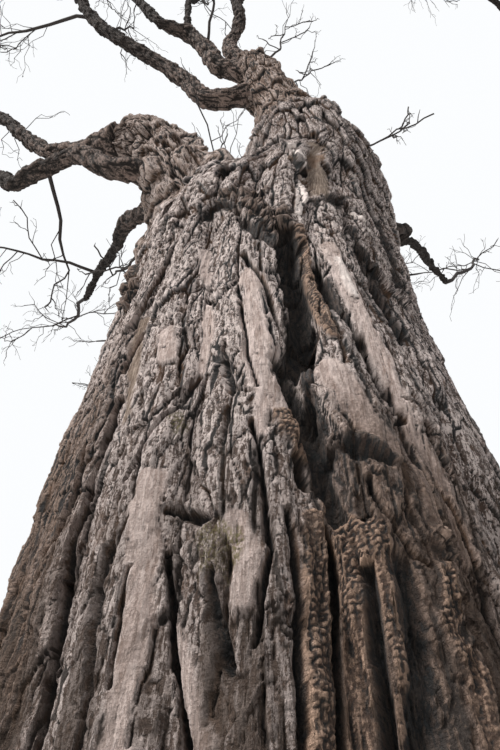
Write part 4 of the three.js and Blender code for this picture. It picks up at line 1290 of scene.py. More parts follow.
# Smooth pale plates of bark, ribs of small knobs, bare wood, lumpy burls and moss: half width in metres.
PALE_PLATES = {
    "middle_strip": (0.045, [(251, 278), (258, 326), (261, 366), (272, 397), (286, 421)]),
    "upper": (0.03, [(204, 254), (208, 283)]),
    "upper_middle": (0.03, [(210, 306), (210, 342), (204, 374)]),
    "left": (0.028, [(168, 332), (168, 358)]),
    "low_left": (0.032, [
        (150, 480), (143, 510), (140, 540), (136, 590), (136, 620), (130, 660), (122, 700), (112, 750)]),
    "pointed": (0.02, [(261, 402), (262, 434)]),
    "right_of_crotch": (0.045, [(330, 370), (346, 398), (362, 420), (385, 445)]),
    "long_right": (0.03, [(371, 330), (385, 365), (400, 400), (415, 440), (440, 490), (470, 560)]),
    "low_right": (0.025, [(415, 470), (430, 510), (437, 530)]),
    "low_middle": (0.03, [(181, 640), (195, 700), (205, 750)]),
    "low_strip": (0.03, [(235, 520), (250, 560), (245, 600)]),
    "high_right": (0.03, [(330, 247), (337, 268), (350, 290), (362, 315), (374, 340), (387, 365)]),
}
ROPY_RIBS = {
    "left_rope": (0.03, [(312, 520), (315, 590), (316, 660), (320, 750)]),
    "middle_rope": (0.036, [(345, 545), (354, 564), (362, 610), (365, 659), (362, 750)]),
    "right_rope": (0.026, [(378, 530), (386, 564), (394, 612), (409, 675), (419, 750)]),
    "outer_rope": (0.026, [(446, 572), (451, 628), (462, 655), (473, 675), (487, 750)]),
    "crotch_rope": (0.022, [(296, 229), (304, 258), (310, 289), (324, 321), (332, 337)]),
    "knob": (0.04, [(285, 420), (298, 438), (306, 450)]),
    "spread": (0.03, [(330, 505), (350, 530), (375, 548)]),
}
WHITE_FLAKES = {
    "by_bare_wood": (0.02, [(290, 148), (296, 158), (301, 172)]),
    "below_it": (0.018, [(300, 178), (298, 200), (296, 217)]),
    "on_high_right": (0.012, [(338, 262), (345, 280), (354, 297)]),
    "by_shoulder": (0.018, [(352, 212), (361, 222), (372, 236)]),
}
BARE_WOOD = {
    "above_crotch": (0.045, [(318, 146), (320, 168), (320, 190)]),
    "brown_streak": (0.03, [(143, 322), (136, 350), (131, 385), (126, 415)]),
}
BURLS = {
    "crotch": (0.085, [(252, 206), (268, 220), (281, 238)]),
    "crotch_side": (0.05, [(228, 197), (244, 194), (262, 196)]),
    "left_edge": (0.05, [(128, 272), (126, 300)]),
}
MOSSY_SPOTS = {
    "by_notch": (0.02, [(174, 416), (178, 430)]),
    "under_ledge": (0.035, [(215, 530), (222, 560)]),
    "right_edge": (0.02, [(489, 465), (496, 480)]),
}
LIFTED_FLAKES = {
    "lip": (0.009, 0.035, [(359, 254), (375, 273), (391, 294), (408, 310)]),
    "torn_edge": (0.014, 0.014, [
        (304, 382), (330, 398), (335, 419), (352, 436), (371, 444), (386, 458), (395, 463)]),
    "by_bare_wood": (0.008, 0.025, [(289, 143), (296, 170), (300, 205)]),
}
SHADY_PLACES = {
    "crotch": (0.042, [(283, 236), (288, 262), (294, 300), (300, 340)]),
    "crotch_low": (0.024, [(303, 350), (310, 390), (318, 425), (326, 460)]),
    "brown_recess": (0.026, [(402, 565), (413, 612), (421, 670), (430, 750)]),
    "rope_middle": (0.014, [(372, 580), (379, 625), (384, 680), (392, 750)]),
    "rope_left": (0.012, [(331, 560), (334, 610), (335, 670), (341, 750)]),
    "fork": (0.028, [(205, 217), (216, 207), (230, 207)]),
    "under_burl": (0.03, [(246, 222), (260, 236), (274, 250)]),
    "right_face": (0.05, [(380, 212), (388, 240), (397, 270), (405, 296)]),
    "shoulder": (0.04, [(348, 230), (363, 264), (384, 300)]),
    "shoulder_low": (0.055, [(386, 310), (398, 330)]),
    "right_long": (0.03, [(325, 282), (337, 310), (352, 335)]),
    "under_flake": (0.035, [(350, 447), (380, 459)]),
    "under_white_flake": (0.04, [(314, 198), (330, 201), (342, 197)]),
}
KNOT_PIXEL = (441, 542)
KNOT_RADIUS = 0.026
BARK_THICKNESS = 0.012

# Where along a pixel's ray the column is looked for, in metres from the camera.
RAY_STEPS = np.arange(0.5, 6.5, 0.004)


def wrapped(angles):
    """Angles round the column, cut at its back."""
    return np.mod(angles + 1.5 * np.pi, 2 * np.pi) - 1.5 * np.pi


def bark_places(pixels):
    """The angle and the height on the column of the points that pixels of the photograph show."""
    pixels = np.array(pixels, float)
    right = (pixels[:, 0] - PHOTO_WIDE / 2) / PIXELS_PER_UNIT
    over = (PHOTO_HIGH / 2 - pixels[:, 1]) / PIXELS_PER_UNIT
    lean, rise = math.cos(CAMERA_TILT), math.sin(CAMERA_TILT)
    rays = np.stack([right, lean - over * rise, rise + over * lean], 1)
    spots = EYE + rays[:, None] * RAY_STEPS[:, None]
    radius, middle_x, middle_y = (value * MM for value in column_at(spots[..., 2] / MM))
    x, y = spots[..., 0] - middle_x, spots[..., 1] - middle_y
    radius = radius + swell(np.arctan2(y, x), spots[..., 2] / MM) * MM + BARK_THICKNESS
    inside = np.hypot(x, y) < radius
    # A ray that passes the column by takes the place where it comes nearest.
    nearest = (np.hypot(x, y) / radius).argmin(1)
    hit = np.where(inside.any(1), inside.argmax(1), nearest)
    row = np.arange(len(pixels))
    return wrapped(np.arctan2(y, x)[row, hit]), spots[row, hit, 2]


def strokes(angles, heights, pixels, reach):
    """For the part of a grid within reach of a way: its slices, and its distance from the way."""
    ways, highs = bark_places(pixels)
    shift = wrapped(angles)
    turn = reach / LEAST_RADIUS
    columns = np.flatnonzero((shift > ways.min() - turn) & (shift < ways.max() + turn))
    rows = np.flatnonzero((heights > highs.min() - reach) & (heights < highs.max() + reach))
    part = np.ix_(rows, columns)
    radius = np.interp(heights[rows], COLUMN[:, 0] * MM, COLUMN[:, 1] * MM)[:, None]
    across, up = np.broadcast_arrays(shift[columns] * radius, heights[rows][:, None])
    distance = np.full(across.shape, np.inf)
    for k in range(len(ways) - 1):
        foot_x, top_x = ways[k] * radius, ways[k + 1] * radius
        run_x, run_y = top_x - foot_x, highs[k + 1] - highs[k]
        square = run_x ** 2 + run_y ** 2 + NEARLY_NOTHING
        share = np.clip(((across - foot_x) * run_x + (up - highs[k]) * run_y) / square, 0, 1)
        away = np.hypot(across - foot_x - share * run_x, up - highs[k] - share * run_y)
        distance = np.minimum(distance, away)
    return part, distance


def beside(angles, heights, half, pixels, jagged):
    """For the part of a grid by a way: its slices, and how far off the way its points are, in half
    widths. The way's edge is less jagged where it runs more across than up, for the flakes stand
    upright."""
    part, distance = strokes(angles, heights, pixels, 3 * half)
    wide, tall = np.ptp(np.array(pixels), axis=0)
    return part, distance / half + jagged[part] * (LYING_SHARE if wide > tall else 1)


def marked(shape, angles, heights, features, jagged):
    """How strongly each point of the grid lies in any of the features, from 0 to 1, where a feature is
    a half width and the pixels that it runs through."""
    mark = np.zeros(shape)
    for half, pixels in features.values():
        part, off = beside(angles, heights, half, pixels, jagged)
        mark[part] = np.maximum(mark[part], 1 - smooth_step(*MARK_EDGE, off))
    return mark


def terraces(value, steps):
    """Turns a smooth field into level steps with steep edges."""
    scaled = value * steps
    base = np.floor(scaled)
    return (base + smooth_step(0.5 - TERRACE_EDGE, 0.5 + TERRACE_EDGE, scaled - base)) / steps


# Plates of bark between cracks, on the column's sides: a plate's width and height, the half width and
# depth of its cracks, how much the plates differ in height and how far a plate's foot lifts, in metres.
LONG_STRIPS = {"plate": (0.088, 0.52), "ragged": 0.05, "crack": 0.006, "depth": 0.014, "step": 0.014,
               "lift": 0.01, "seed": 31}
SHORT_PLATES = {"plate": (0.036, 0.15), "ragged": 0.16, "crack": 0.0035, "depth": 0.006, "step": 0.006,
                "lift": 0.004, "seed": 47}
LOOSE_FLAKES = {"plate": (0.074, 0.2), "ragged": 0.12, "crack": 0.009, "depth": 0.018, "step": 0.034,
                "lift": 0.02, "seed": 59}
CRACK_FLOOR = 0.3
CRACK_UNEVENNESS = 0.7
LEAST_CRACK = 0.25
LEVEL_CRACK_LOSS = {"depth": 0.5, "shade": 0.4}
FEWEST_PLATES = 4

# Flakes that lie on one another: their width and height, how far one stands over the next and how many
# lie one over the other.
FLAKES = [
    {"size": (0.042, 0.24), "rise": 0.006, "levels": 2.4, "ragged": 0.16, "seed": 61},
    {"size": (0.015, 0.085), "rise": 0.0045, "levels": 1.7, "ragged": 0.22, "seed": 63},
    {"size": (0.0085, 0.034), "rise": 0.0026, "levels": 1.5, "ragged": 0.0, "seed": 67},
]
TERRACE_EDGE = 0.12

# Between these two heights the bark turns from plates to loose flakes, which are longer, wider, more
# askew and further apart in height.
LOOSE_FROM = (3.4, 4.2)
LOOSE_LENGTHENING = 1.7
LOOSE_WIDENING = 1.7
LOOSE_RISES = (1.6, 0.8, 0.6)
LOOSE_SLANT = 0.35
LOOSE_SWIRL = 0.1
LOOSE_HEIGHTS = 800

TRUNK_GIRTH = 2 * np.pi * NOMINAL_RADIUS

# Small knobs side by side: their width and height in metres, and how ragged their edges are.
PEBBLES = {"size": (0.011, 0.016), "ragged": 0.3, "seed": 103}
BURL_KNOBS = {"size": (0.07, 0.1), "ragged": 0.2, "seed": 101}

# Smooth lumps: how wide and how tall in metres, how many finer layers, and a seed.
LUMPS = {
    "warp": (0.4, 0.9, 3, 11),
    "swirl": (0.2, 0.26, 2, 13),
    "ragged": (0.024, 0.06, 3, 21),
    "waves": (0.16, 0.4, 1, 71),
    "rope_knobs": (0.03, 0.06, 2, 83),
    "bulges": (0.11, 0.6, 2, 87),
    "patches": (0.13, 0.3, 1, 91),
    "openings": (0.05, 0.2, 1, 93),
    "threads": (0.013, 0.16, 1, 95),
    "limb_warp": (0.12, 0.25, 2, 0),
    "limb_ragged": (0.024, 0.06, 3, 3),
    "limb_lumps": (0.1, 0.16, 3, 11),
}
GRIT = 0.0022
GRIT_SEED = 97

# How far the plates' ways wander along and round the column, low down and high up.
RUN_WANDER = 0.05
AROUND_WANDER = 0.06
SWIRL_WANDER = (0.008, 0.045)

# The marks on the bark, and how much more ragged the edges of some are.
MARKS = {
    "pale": PALE_PLATES, "ropy": ROPY_RIBS, "bare": BARE_WOOD, "burl": BURLS, "white": WHITE_FLAKES,
    "mossy": MOSSY_SPOTS, "shady": SHADY_PLACES,
}
MARK_RAGGEDNESS = {"bare": 1.6, "mossy": 2}
MARK_EDGE = (0.6, 1.1)
PLATE_JAG = 0.35
RAGGED_JAG = 0.12
LYING_SHARE = 0.3
LEAST_RADIUS = 0.5
BURL_SHADE = 0.3
BURL_BROWN = 0.7

# The share of each part of the relief that a mark takes away.
LOSSES = {
    "strips": {"pale": 0.9, "ropy": 1, "bare": 1, "burl": 0.4},
    "plates": {"pale": 0.75, "ropy": 0.6, "bare": 1, "burl": 0.4},
    "flakes": {"pale": 0.5, "bare": 0.8},
    "grit": {"pale": 0.6},
    "painted_crack_shade": {"pale": 0.75, "bare": 1, "ropy": 1, "white": 1},
}
HIGH_LOSSES = {"plates": 0.7, "painted_crack_shade": 0.8}
PATCHINESS = (0.6, 1.4)
OPENINGS = (-0.15, 0.15)

# How far the marks and their knobs stand over the surface, or lie under it, in metres.
RISES = {"pale": 0.008, "ropy": 0.011, "bare": -0.005, "burl": -0.002, "white": 0.006}
ROPE_KNOB_RISE = 0.006
PEBBLE_RISE = 0.0045
PEBBLE_EDGE = 0.005
BURL_KNOB_RISE = 0.03
BURL_KNOB_EDGE = 0.03
BULGE_RISE = 0.016
WAVE_RISE = 0.01
BROWN_THREAD_DEPTHS = (0.0012, 0.006)
ROPE_THREAD_DEPTH = 0.004
KNOT_LIP_RISE = 0.016
KNOT_HOLE_DEPTH = 0.05

# The knot's lip and hole, in its radii.
KNOT_LIP_AT = 0.95
KNOT_LIP_WIDE = 0.3
KNOT_HOLE_WIDE = 0.45

# How far from the middle of a furrow its floor ends, for thin and for wide ones, and where its wall
# ends, in half widths. A lifted flake's edge lies between two such places.
FURROW_FLOORS = (0.4, 0.0)
FURROW_EDGE = 1.15
FLAKE_EDGE = (0.4, 1.1)
WIDE_FURROW = 0.03
DEEP_FURROW = 0.045

# What the finish is told: how much of each layer's own tone makes a plate's tone, and where cracks
# show between knobs, threads and pebbles, in metres.
STRIP_TONE = 0.15
PLATE_TONE = 0.25
LOOSE_TONE = 0.4
FLAKE_TONE = 0.3
KNOB_CRACK = (0.003, 0.014)
THREAD_CRACK = (0.55, 1.0)
THREAD_SHADE = 0.75
PEBBLE_CRACK = (0.0006, 0.0025)
PEBBLE_SHADE = 0.45

# Where the bark is brown, partly its own colour and partly painted shade, and where painted light makes it
# lighter, on the camera's side: two angles in degrees between which it begins and two between which it
# ends, and heights in metres likewise.
BROWN_RIGHT = (-92, -76, -62, -46)
BROWN_RIGHT_TOP = (2.2, 2.75)
BROWN_LEFT = (-178, -168, -138, -126)
BROWN_LEFT_TOP = (2.7, 3.3)
BROWN_FOOT_TOP = (0.1, 0.9)
BROWN_SHARES = {"right": 0.9, "left": 0.85, "foot": 0.5}
PAINTED_LIGHT_SIDE = (-165, -140, -78, -60)
PAINTED_LIGHT_FROM = (2.2, 2.7)
PAINTED_LIGHT_TO = (3.7, 4.3)
PAINTED_LIGHTENING = 0.7
# Below these heights the trunk is painted darker, as painted shade.
LOW_SHADE_TOP = (1.5, 3.1)
# Above these heights the stems are painted darker, as painted shade.
PAINTED_SHADE_FROM = (5.0, 6.0)

# How far those edges wander with the warp: degrees for the angles, metres for the heights.
EDGE_SWAY = 6
BROWN_SWAY = 0.1
PAINTED_LIGHT_SWAY = 0.2
LOW_SHADE_SWAY = 0.15


def lumps(name, x, y, along, seed=0):
    """How far a kind of smooth lumps rises or falls at each point, from about -1 to 1."""
    wide, tall, layers, own_seed = LUMPS[name]
    return layered_noise(x / wide, y / wide, along / tall, seed + own_seed, layers)


def between(limits, value):
    """1 between two limits and 0 outside them, where each limit is a smooth edge."""
    return smooth_step(*limits[:2], value) * (1 - smooth_step(*limits[2:], value))


def kept(part, marks):
    """How much of a part of the relief is left by the marks."""
    left = 1
    for mark, loss in LOSSES[part].items():
        left = left * (1 - loss * marks[mark])
    return left


def bark_layer(layer, around, high, ragged, girth=TRUNK_GIRTH):
    """One layer's height over the surface, each plate's tone, and the cracks between plates."""
    cells = max(round(girth / layer["plate"][0]), FEWEST_PLATES)
    size = (girth / cells, layer["plate"][1])
    across = around / size[0] + layer["ragged"] * ragged
    up = high / size[1] + layer["ragged"] * ragged
    edge, level, tone, below = plates(across, up, cells, size, layer["seed"])
    width = layer["crack"] * np.maximum(1 + CRACK_UNEVENNESS * ragged, LEAST_CRACK)
    crack = 1 - smooth_step(CRACK_FLOOR, 1, edge / width)
    height = layer["step"] * (tone - 0.5) + layer["lift"] * below
    height -= layer["depth"] * (1 - LEVEL_CRACK_LOSS["depth"] * level) * crack
    return height, tone, crack * (1 - LEVEL_CRACK_LOSS["shade"] * level)


def knob_edges(knobs, around, high, ragged):
    """How far each point is from the edge of its small knob, in metres."""
    wide, tall = knobs["size"]
    across = around / wide + knobs["ragged"] * ragged
    return plates(across, high / tall, round(TRUNK_GIRTH / wide), knobs["size"], knobs["seed"])[0]


def flake_layer(layer, x, y, high, ragged):
    """One layer of flakes: its height over the surface, and each flake's level from about 0 to 1."""
    wide, tall = layer["size"]
    lie = 0.5 + 0.5 * noise(x / wide, y / wide, high / tall, layer["seed"]) + layer["ragged"] * ragged
    level = terraces(lie, layer["levels"])
    return layer["rise"] * layer["levels"] * (level - 0.5), level


def trunk_relief(angles, heights, turn, high):
    """The bark's height over the column's surface, in metres, and what its finish needs to know."""
    shape = high.shape
    x, y = np.cos(turn) * NOMINAL_RADIUS, np.sin(turn) * NOMINAL_RADIUS
    warp = lumps("warp", x, y, high)
    swirl = lumps("swirl", x, y, high)
    upper = smooth_step(*LOOSE_FROM, heights)[:, None]
    table = np.linspace(0, COLUMN_TOP, LOOSE_HEIGHTS)
    runs = np.cumsum(table[1] / lerp(1, LOOSE_LENGTHENING, smooth_step(*LOOSE_FROM, table)))
    run = np.interp(heights, table, runs)[:, None] + RUN_WANDER * warp
    around = turn * NOMINAL_RADIUS + AROUND_WANDER * warp + lerp(*SWIRL_WANDER, upper) * swirl
    radius = NOMINAL_RADIUS / lerp(1, LOOSE_WIDENING, upper)
    x, y = (f(around / NOMINAL_RADIUS) * radius for f in (np.cos, np.sin))
    ragged = lumps("ragged", x, y, run)
    patches = 0.5 + 0.5 * lumps("patches", x, y, high)
    open_here = smooth_step(*OPENINGS, lumps("openings", x, y, run))
    thread = np.abs(lumps("threads", x, y, run)) * 2

    strips, tone, crack = bark_layer(LONG_STRIPS, around, run, ragged)
    short_plates, own, small_crack = bark_layer(SHORT_PLATES, around, run, ragged)
    askew = around + LOOSE_SLANT * (run - LOOSE_SWIRL * swirl)
    loose, loose_tone, loose_crack = bark_layer(LOOSE_FLAKES, askew, run, ragged)
    strips, crack = lerp(strips, loose, upper), lerp(crack, loose_crack, upper)
    crack = np.maximum(crack, small_crack * open_here * (1 - HIGH_LOSSES["painted_crack_shade"] * upper))
    flakes = [flake_layer(layer, x, y, run, ragged) for layer in FLAKES]
    rises = [lerp(1, rise, upper) for rise in LOOSE_RISES]
    broad, small, tiny = (flake * rise for (flake, _), rise in zip(flakes, rises))
    broad_level, small_level, tiny_level = (level for _, level in flakes)
    crease = knob_edges(PEBBLES, around, high, ragged)
    edge = knob_edges(BURL_KNOBS, around, high, ragged)

    jagged = PLATE_JAG * (own + small_level - 1) + RAGGED_JAG * ragged
    marks = {
        name: marked(shape, angles, heights, places, MARK_RAGGEDNESS.get(name, 1) * jagged)
        for name, places in MARKS.items()
    }
    ropy, burl = marks["ropy"], marks["burl"]
    brown = browned(turn, high, warp)
    carved = furrow_depths(shape, angles, heights, jagged)

    height = strips * kept("strips", marks)
    plated = short_plates * (1 - HIGH_LOSSES["plates"] * upper) + broad
    height += plated * kept("plates", marks) * lerp(*PATCHINESS, patches)
    height += (small + tiny) * kept("flakes", marks)
    height += sum(rise * marks[name] for name, rise in RISES.items())
    height += ropy * ROPE_KNOB_RISE * lumps("rope_knobs", x, y, high)
    height += ropy * PEBBLE_RISE * open_here * smooth_step(0, PEBBLE_EDGE, crease)
    height += burl * BURL_KNOB_RISE * smooth_step(0, BURL_KNOB_EDGE, edge)
    height += BULGE_RISE * upper * lumps("bulges", x, y, high) + WAVE_RISE * lumps("waves", x, y, high)
    height -= thread * (lerp(*BROWN_THREAD_DEPTHS, brown) + ROPE_THREAD_DEPTH * ropy)
    height += flake_rises(shape, angles, heights, jagged) - carved
    row, column = np.indices(shape)
    height += GRIT * kept("grit", marks) * (scatter(GRIT_SEED, row, column) - 0.5)

    crack = np.maximum(crack, burl * (1 - smooth_step(*KNOB_CRACK, edge)))
    threaded = THREAD_SHADE * brown * (1 - ropy) * smooth_step(*THREAD_CRACK, thread)
    crack = np.maximum(crack, threaded) * kept("painted_crack_shade", marks)
    creased = PEBBLE_SHADE * ropy * open_here * (1 - smooth_step(*PEBBLE_CRACK, crease))
    tone = lerp(STRIP_TONE * tone + PLATE_TONE * own, LOOSE_TONE * loose_tone, upper)
    return height, {name: marks[name] for name in ("pale", "ropy", "bare", "mossy", "white")} | {
        "tone": np.clip(tone + FLAKE_TONE * (broad_level + small_level), 0, 1),
        "chip": tiny_level,
        "crack": np.maximum(crack, creased),
        "shady": np.maximum(marks["shady"], BURL_SHADE * burl),
        "brown": np.maximum(brown, BURL_BROWN * burl),
        "carved": np.clip(carved / DEEP_FURROW, 0, 1),
        # Painted shade, stronger towards the ground.
        "brown_and_painted_shade": 1 - smooth_step(*LOW_SHADE_TOP, high + LOW_SHADE_SWAY * warp),
        # Painted shade high on the stems, less the painted light on the left of the camera's side.
        "painted_light_and_shade": smooth_step(*PAINTED_SHADE_FROM, high) - PAINTED_LIGHTENING * painted_light(turn, high, warp),
    }


def furrow_depths(shape, angles, heights, jagged):
    """How deep the furrows are cut at each point, in metres. Only the thin ones have a flat floor."""
    carved = np.zeros(shape)
    for half, depth, pixels in FURROWS.values():
        part, off = beside(angles, heights, half, pixels, jagged)
        floor = lerp(*FURROW_FLOORS, min(half / WIDE_FURROW, 1))
        carved[part] = np.maximum(carved[part], depth * (1 - smooth_step(floor, FURROW_EDGE, off)))
    return carved


def flake_rises(shape, angles, heights, jagged):
    """How far the lifted flakes and the knot stand out at each point, in metres."""
    out = np.zeros(shape)
    for half, rise, pixels in LIFTED_FLAKES.values():
        part, off = beside(angles, heights, half, pixels, jagged)
        out[part] += rise * (1 - smooth_step(*FLAKE_EDGE, off))
    part, distance = strokes(angles, heights, [KNOT_PIXEL, KNOT_PIXEL], 3 * KNOT_RADIUS)
    ring = distance / KNOT_RADIUS
    out[part] += KNOT_LIP_RISE * np.exp(-(((ring - KNOT_LIP_AT) / KNOT_LIP_WIDE) ** 2))
    out[part] -= KNOT_HOLE_DEPTH * np.exp(-((ring / KNOT_HOLE_WIDE) ** 2))
    return out


def browned(turn, high, warp):
    """Where the bark is brown, partly its own colour and partly painted shade: low on the right of the
    camera's side, down its left edge, and at the ground."""
    degrees = np.degrees(wrapped(turn)) + EDGE_SWAY * warp
    level = high + BROWN_SWAY * warp
    right = BROWN_SHARES["right"] * between(BROWN_RIGHT, degrees) * (1 - smooth_step(*BROWN_RIGHT_TOP, level))
    left = BROWN_SHARES["left"] * between(BROWN_LEFT, degrees) * (1 - smooth_step(*BROWN_LEFT_TOP, level))
    foot = BROWN_SHARES["foot"] * (1 - smooth_step(*BROWN_FOOT_TOP, high))
    return np.maximum(np.maximum(right, left), foot)


def painted_light(turn, high, warp):
    """Where painted light makes the bark lighter: the middle of the trunk, on the left of the camera's side.
    """
    side = between(PAINTED_LIGHT_SIDE, np.degrees(wrapped(turn)) + EDGE_SWAY * warp)
    above = smooth_step(*PAINTED_LIGHT_FROM, high + PAINTED_LIGHT_SWAY * warp)
    return side * above * (1 - smooth_step(*PAINTED_LIGHT_TO, high))


def shade_fields(relief, wide, high, depth, rise):
    """How deep each point lies under the bark round it, and how far it stands over the points next to
    it, as shares of a depth and a rise in metres."""
    return {
        "cavity": np.clip((blurred(relief, wide, high) - relief) / depth, 0, 1),
        "edge": np.clip((relief - blurred(relief, 1, 1)) / rise, -1, 1),
    }


# The column's pieces, each between two heights.
TRUNK_PIECES = [
    ("trunk_foot", 0, 1.55), ("trunk_breast", 1.55, 2.15), ("trunk_low", 2.15, 2.8),
    ("trunk_middle", 2.8, 3.45), ("trunk_high", 3.45, NARROW_FROM),
]
FORK_PIECES = [
    ("trunk_fork", NARROW_FROM, STEM_CUT_HEIGHT * MM),
    ("right_stem_bark", STEM_CUT_HEIGHT * MM, COLUMN_TOP),
]

# Under these heights the bark stands out level, so that the foot stays at the ground.
LEVEL_BELOW = (0.5, 0.2)

# The points across and along that a hollow is measured over, and its depth and an edge's rise.
COLUMN_SHADING = (9, 7, 0.026, 0.0025)


def column_part(skeleton, angles, heights):
    """A part of the column with its bark: its rings of points, their normals and their fields."""
    radius, right, back = smooth_column(heights)
    spread = radius[:, None] + swell(angles[None], heights[:, None] / MM) * MM
    turn, high = np.broadcast_arrays(angles[None], heights[:, None])
    base = np.stack([
        right[:, None] + spread * np.cos(turn), back[:, None] + spread * np.sin(turn), high,
    ], 2)
    normals = outward_normals(base)
    normals[..., 2] *= 1 - smooth_step(*LEVEL_BELOW, high)
    normals /= np.linalg.norm(normals, axis=2, keepdims=True)
    relief, fields = trunk_relief(angles, heights, turn, high)
    joints = bough_junction(base.reshape(-1, 3), skeleton, ["trunk", "right_stem"], JUNCTION_REACH)
    relief = relief + joints.reshape(relief.shape)
    grid = base + normals * (relief + BARK_THICKNESS)[..., None]
    grid[heights == 0, :, 2] = 0
    return grid, outward_normals(grid, True), fields | shade_fields(relief, *COLUMN_SHADING)


def dress_column(skeleton, material):
    """The bark of the trunk and the right stem, in pieces that meet at cuts."""
    angles = column_columns()
    low_rows, high_rows = column_rows()
    for columns, heights, pieces in (
        (angles, low_rows, TRUNK_PIECES), (angles[::2], high_rows, FORK_PIECES),
    ):
        grid, shading, fields = column_part(skeleton, columns, heights)
        for name, low, top in pieces:
            first, last = np.searchsorted(heights, (low, top))
            rows = slice(first, min(last, len(heights) - 1) + 1)
            replaced = ["right_stem"] if name == "right_stem_bark" else ["trunk"]
            part = {key: field[rows] for key, field in fields.items()}
            tube_piece(
                name, grid[rows], part, material, replaced, columns * NOMINAL_RADIUS,
                heights[rows], shading[rows],
            )


# The limbs

LINE_SAMPLES = 60
FEWEST_RINGS = 8
STEEP = 0.8


def fine_line(knots, radii, step):
    """A limb's points at even steps along its smooth way, in metres, their radii and distances."""
    shares = np.linspace(0, 1, LINE_SAMPLES * len(knots))
    points = points_on(knots, shares) * MM
    run = np.concatenate([[0], np.cumsum(np.linalg.norm(np.diff(points, axis=0), axis=1))])
    count = max(int(run[-1] / step), FEWEST_RINGS)
    even = np.linspace(0, run[-1], count + 1)
    at = np.interp(even, run, shares)
    return points_on(knots, at) * MM, radii_on(radii, at) * MM, even


def frames_along(points):
    """The way a line runs at each point and two directions square to it, carried without a twist."""
    ways = np.gradient(points, axis=0)
    ways /= np.linalg.norm(ways, axis=1, keepdims=True)
    start = np.array([1.0, 0, 0]) if abs(ways[0][2]) > STEEP else np.array([0, 0, 1.0])
    side = unit(np.cross(start, ways[0]))
    sides = []
    for way in ways:
        side = unit(side - way * side.dot(way))
        sides.append(side)
    sides = np.array(sides)
    return ways, sides, np.cross(ways, sides)


# The barks of the stems and of the boughs: their plates, how far the plates' ways wander, how much the
# flakes stand out, how high the lumps stand as metres and as a share of the limb's radius, how much
# painted shade darkens the bark (below 0, painted light that lightens it), how drawn out the bark is, how
# far apart the points stand along and round the limb, and its finish.
STEM_BARK = {
    "plates": {"plate": (0.06, 0.15), "ragged": 0.12, "crack": 0.008, "depth": 0.016, "step": 0.026,
               "lift": 0.016, "seed": 7},
    "askew": 0.09, "flakes": (1.2, 0.8, 0.6), "lumps": 0.02, "share": 0.1, "painted_light_and_shade": -0.6, "stretch": 1.0,
    "along": 0.011, "round": 0.0095, "finish": "trunk_bark",
}
BOUGH_BARK = {
    "plates": {"plate": (0.034, 0.085), "ragged": 0.15, "crack": 0.005, "depth": 0.009, "step": 0.015,
               "lift": 0.009, "seed": 7},
    "askew": 0.03, "flakes": (0.9, 1.0, 1.0), "lumps": 0.0, "share": 0.16, "painted_light_and_shade": 0.0, "stretch": 1.0,
    "along": 0.016, "round": 0.011, "finish": "limb_bark",
}
STEM_BARKS = {"left_stem": STEM_BARK, "leader": STEM_BARK | {"painted_light_and_shade": 1.3, "stretch": 1.8}}
FEWEST_SIDES = 12
LIMB_BARK_SEED = 1000
LIMB_BARK_SEED_STEP = 50
THICK_LIMB = 0.1
FLAKE_WANDER = 0.03
LIMB_GRIT = 0.4

# A limb's fillet where it meets another: as a share of its radius, and at most in metres.
LIMB_FILLET = 1.1
WIDEST_FILLET = 0.12

# How long its rounded end is, as a share of the radius there, and how little of the section is left at
# the tip, as a share of its square.
ROUND_END = 0.8
SMALLEST_END = 0.02

# The pale tint of thick boughs: the radii between which it comes up, and how much of it is lost
# between two distances along the bough, all in metres.
PALE_RADII = (0.024, 0.06)
PALE_REACH = (0.3, 2.0)
PALE_LOSS = 0.88
LIMB_ROPINESS = 0.3

# The points round and along that a hollow is measured over, its depth in those of the plates' cracks,
# and an edge's rise in metres.
LIMB_SHADING = (4, 4)
LIMB_HOLLOW = 1.6
LIMB_EDGE = 0.003


def reseeded(layer, seed):
    return layer | {"seed": layer["seed"] + seed}


def limb_relief(turn, far, radii, kind, seed):
    """The bark's height over a limb's round surface, each plate's tone and the cracks."""
    mean = radii.mean()
    far = far / kind["stretch"]
    x, y = np.cos(turn) * mean, np.sin(turn) * mean
    warp = lumps("limb_warp", x, y, far, seed)
    ragged = lumps("limb_ragged", x, y, far, seed)
    around = turn * mean + kind["askew"] * warp
    plated = reseeded(kind["plates"], seed)
    height, tone, crack = bark_layer(plated, around, far, ragged, 2 * np.pi * mean)
    tones = [tone]
    # A thin limb has no broad flakes.
    first = 0 if mean > THICK_LIMB else 1
    for layer, rise in list(zip(FLAKES, kind["flakes"]))[first:]:
        flakes, tone = flake_layer(reseeded(layer, seed), x, y, far + FLAKE_WANDER * warp, ragged)
        height = height + rise * flakes
        tones.append(tone)
    height += (kind["lumps"] + kind["share"] * radii[:, None]) * lumps("limb_lumps", x, y, far, seed)
    row, column = np.indices(height.shape)
    height += LIMB_GRIT * GRIT * (scatter(seed, row, column) - 0.5)
    return height, sum(tones) / len(tones), crack


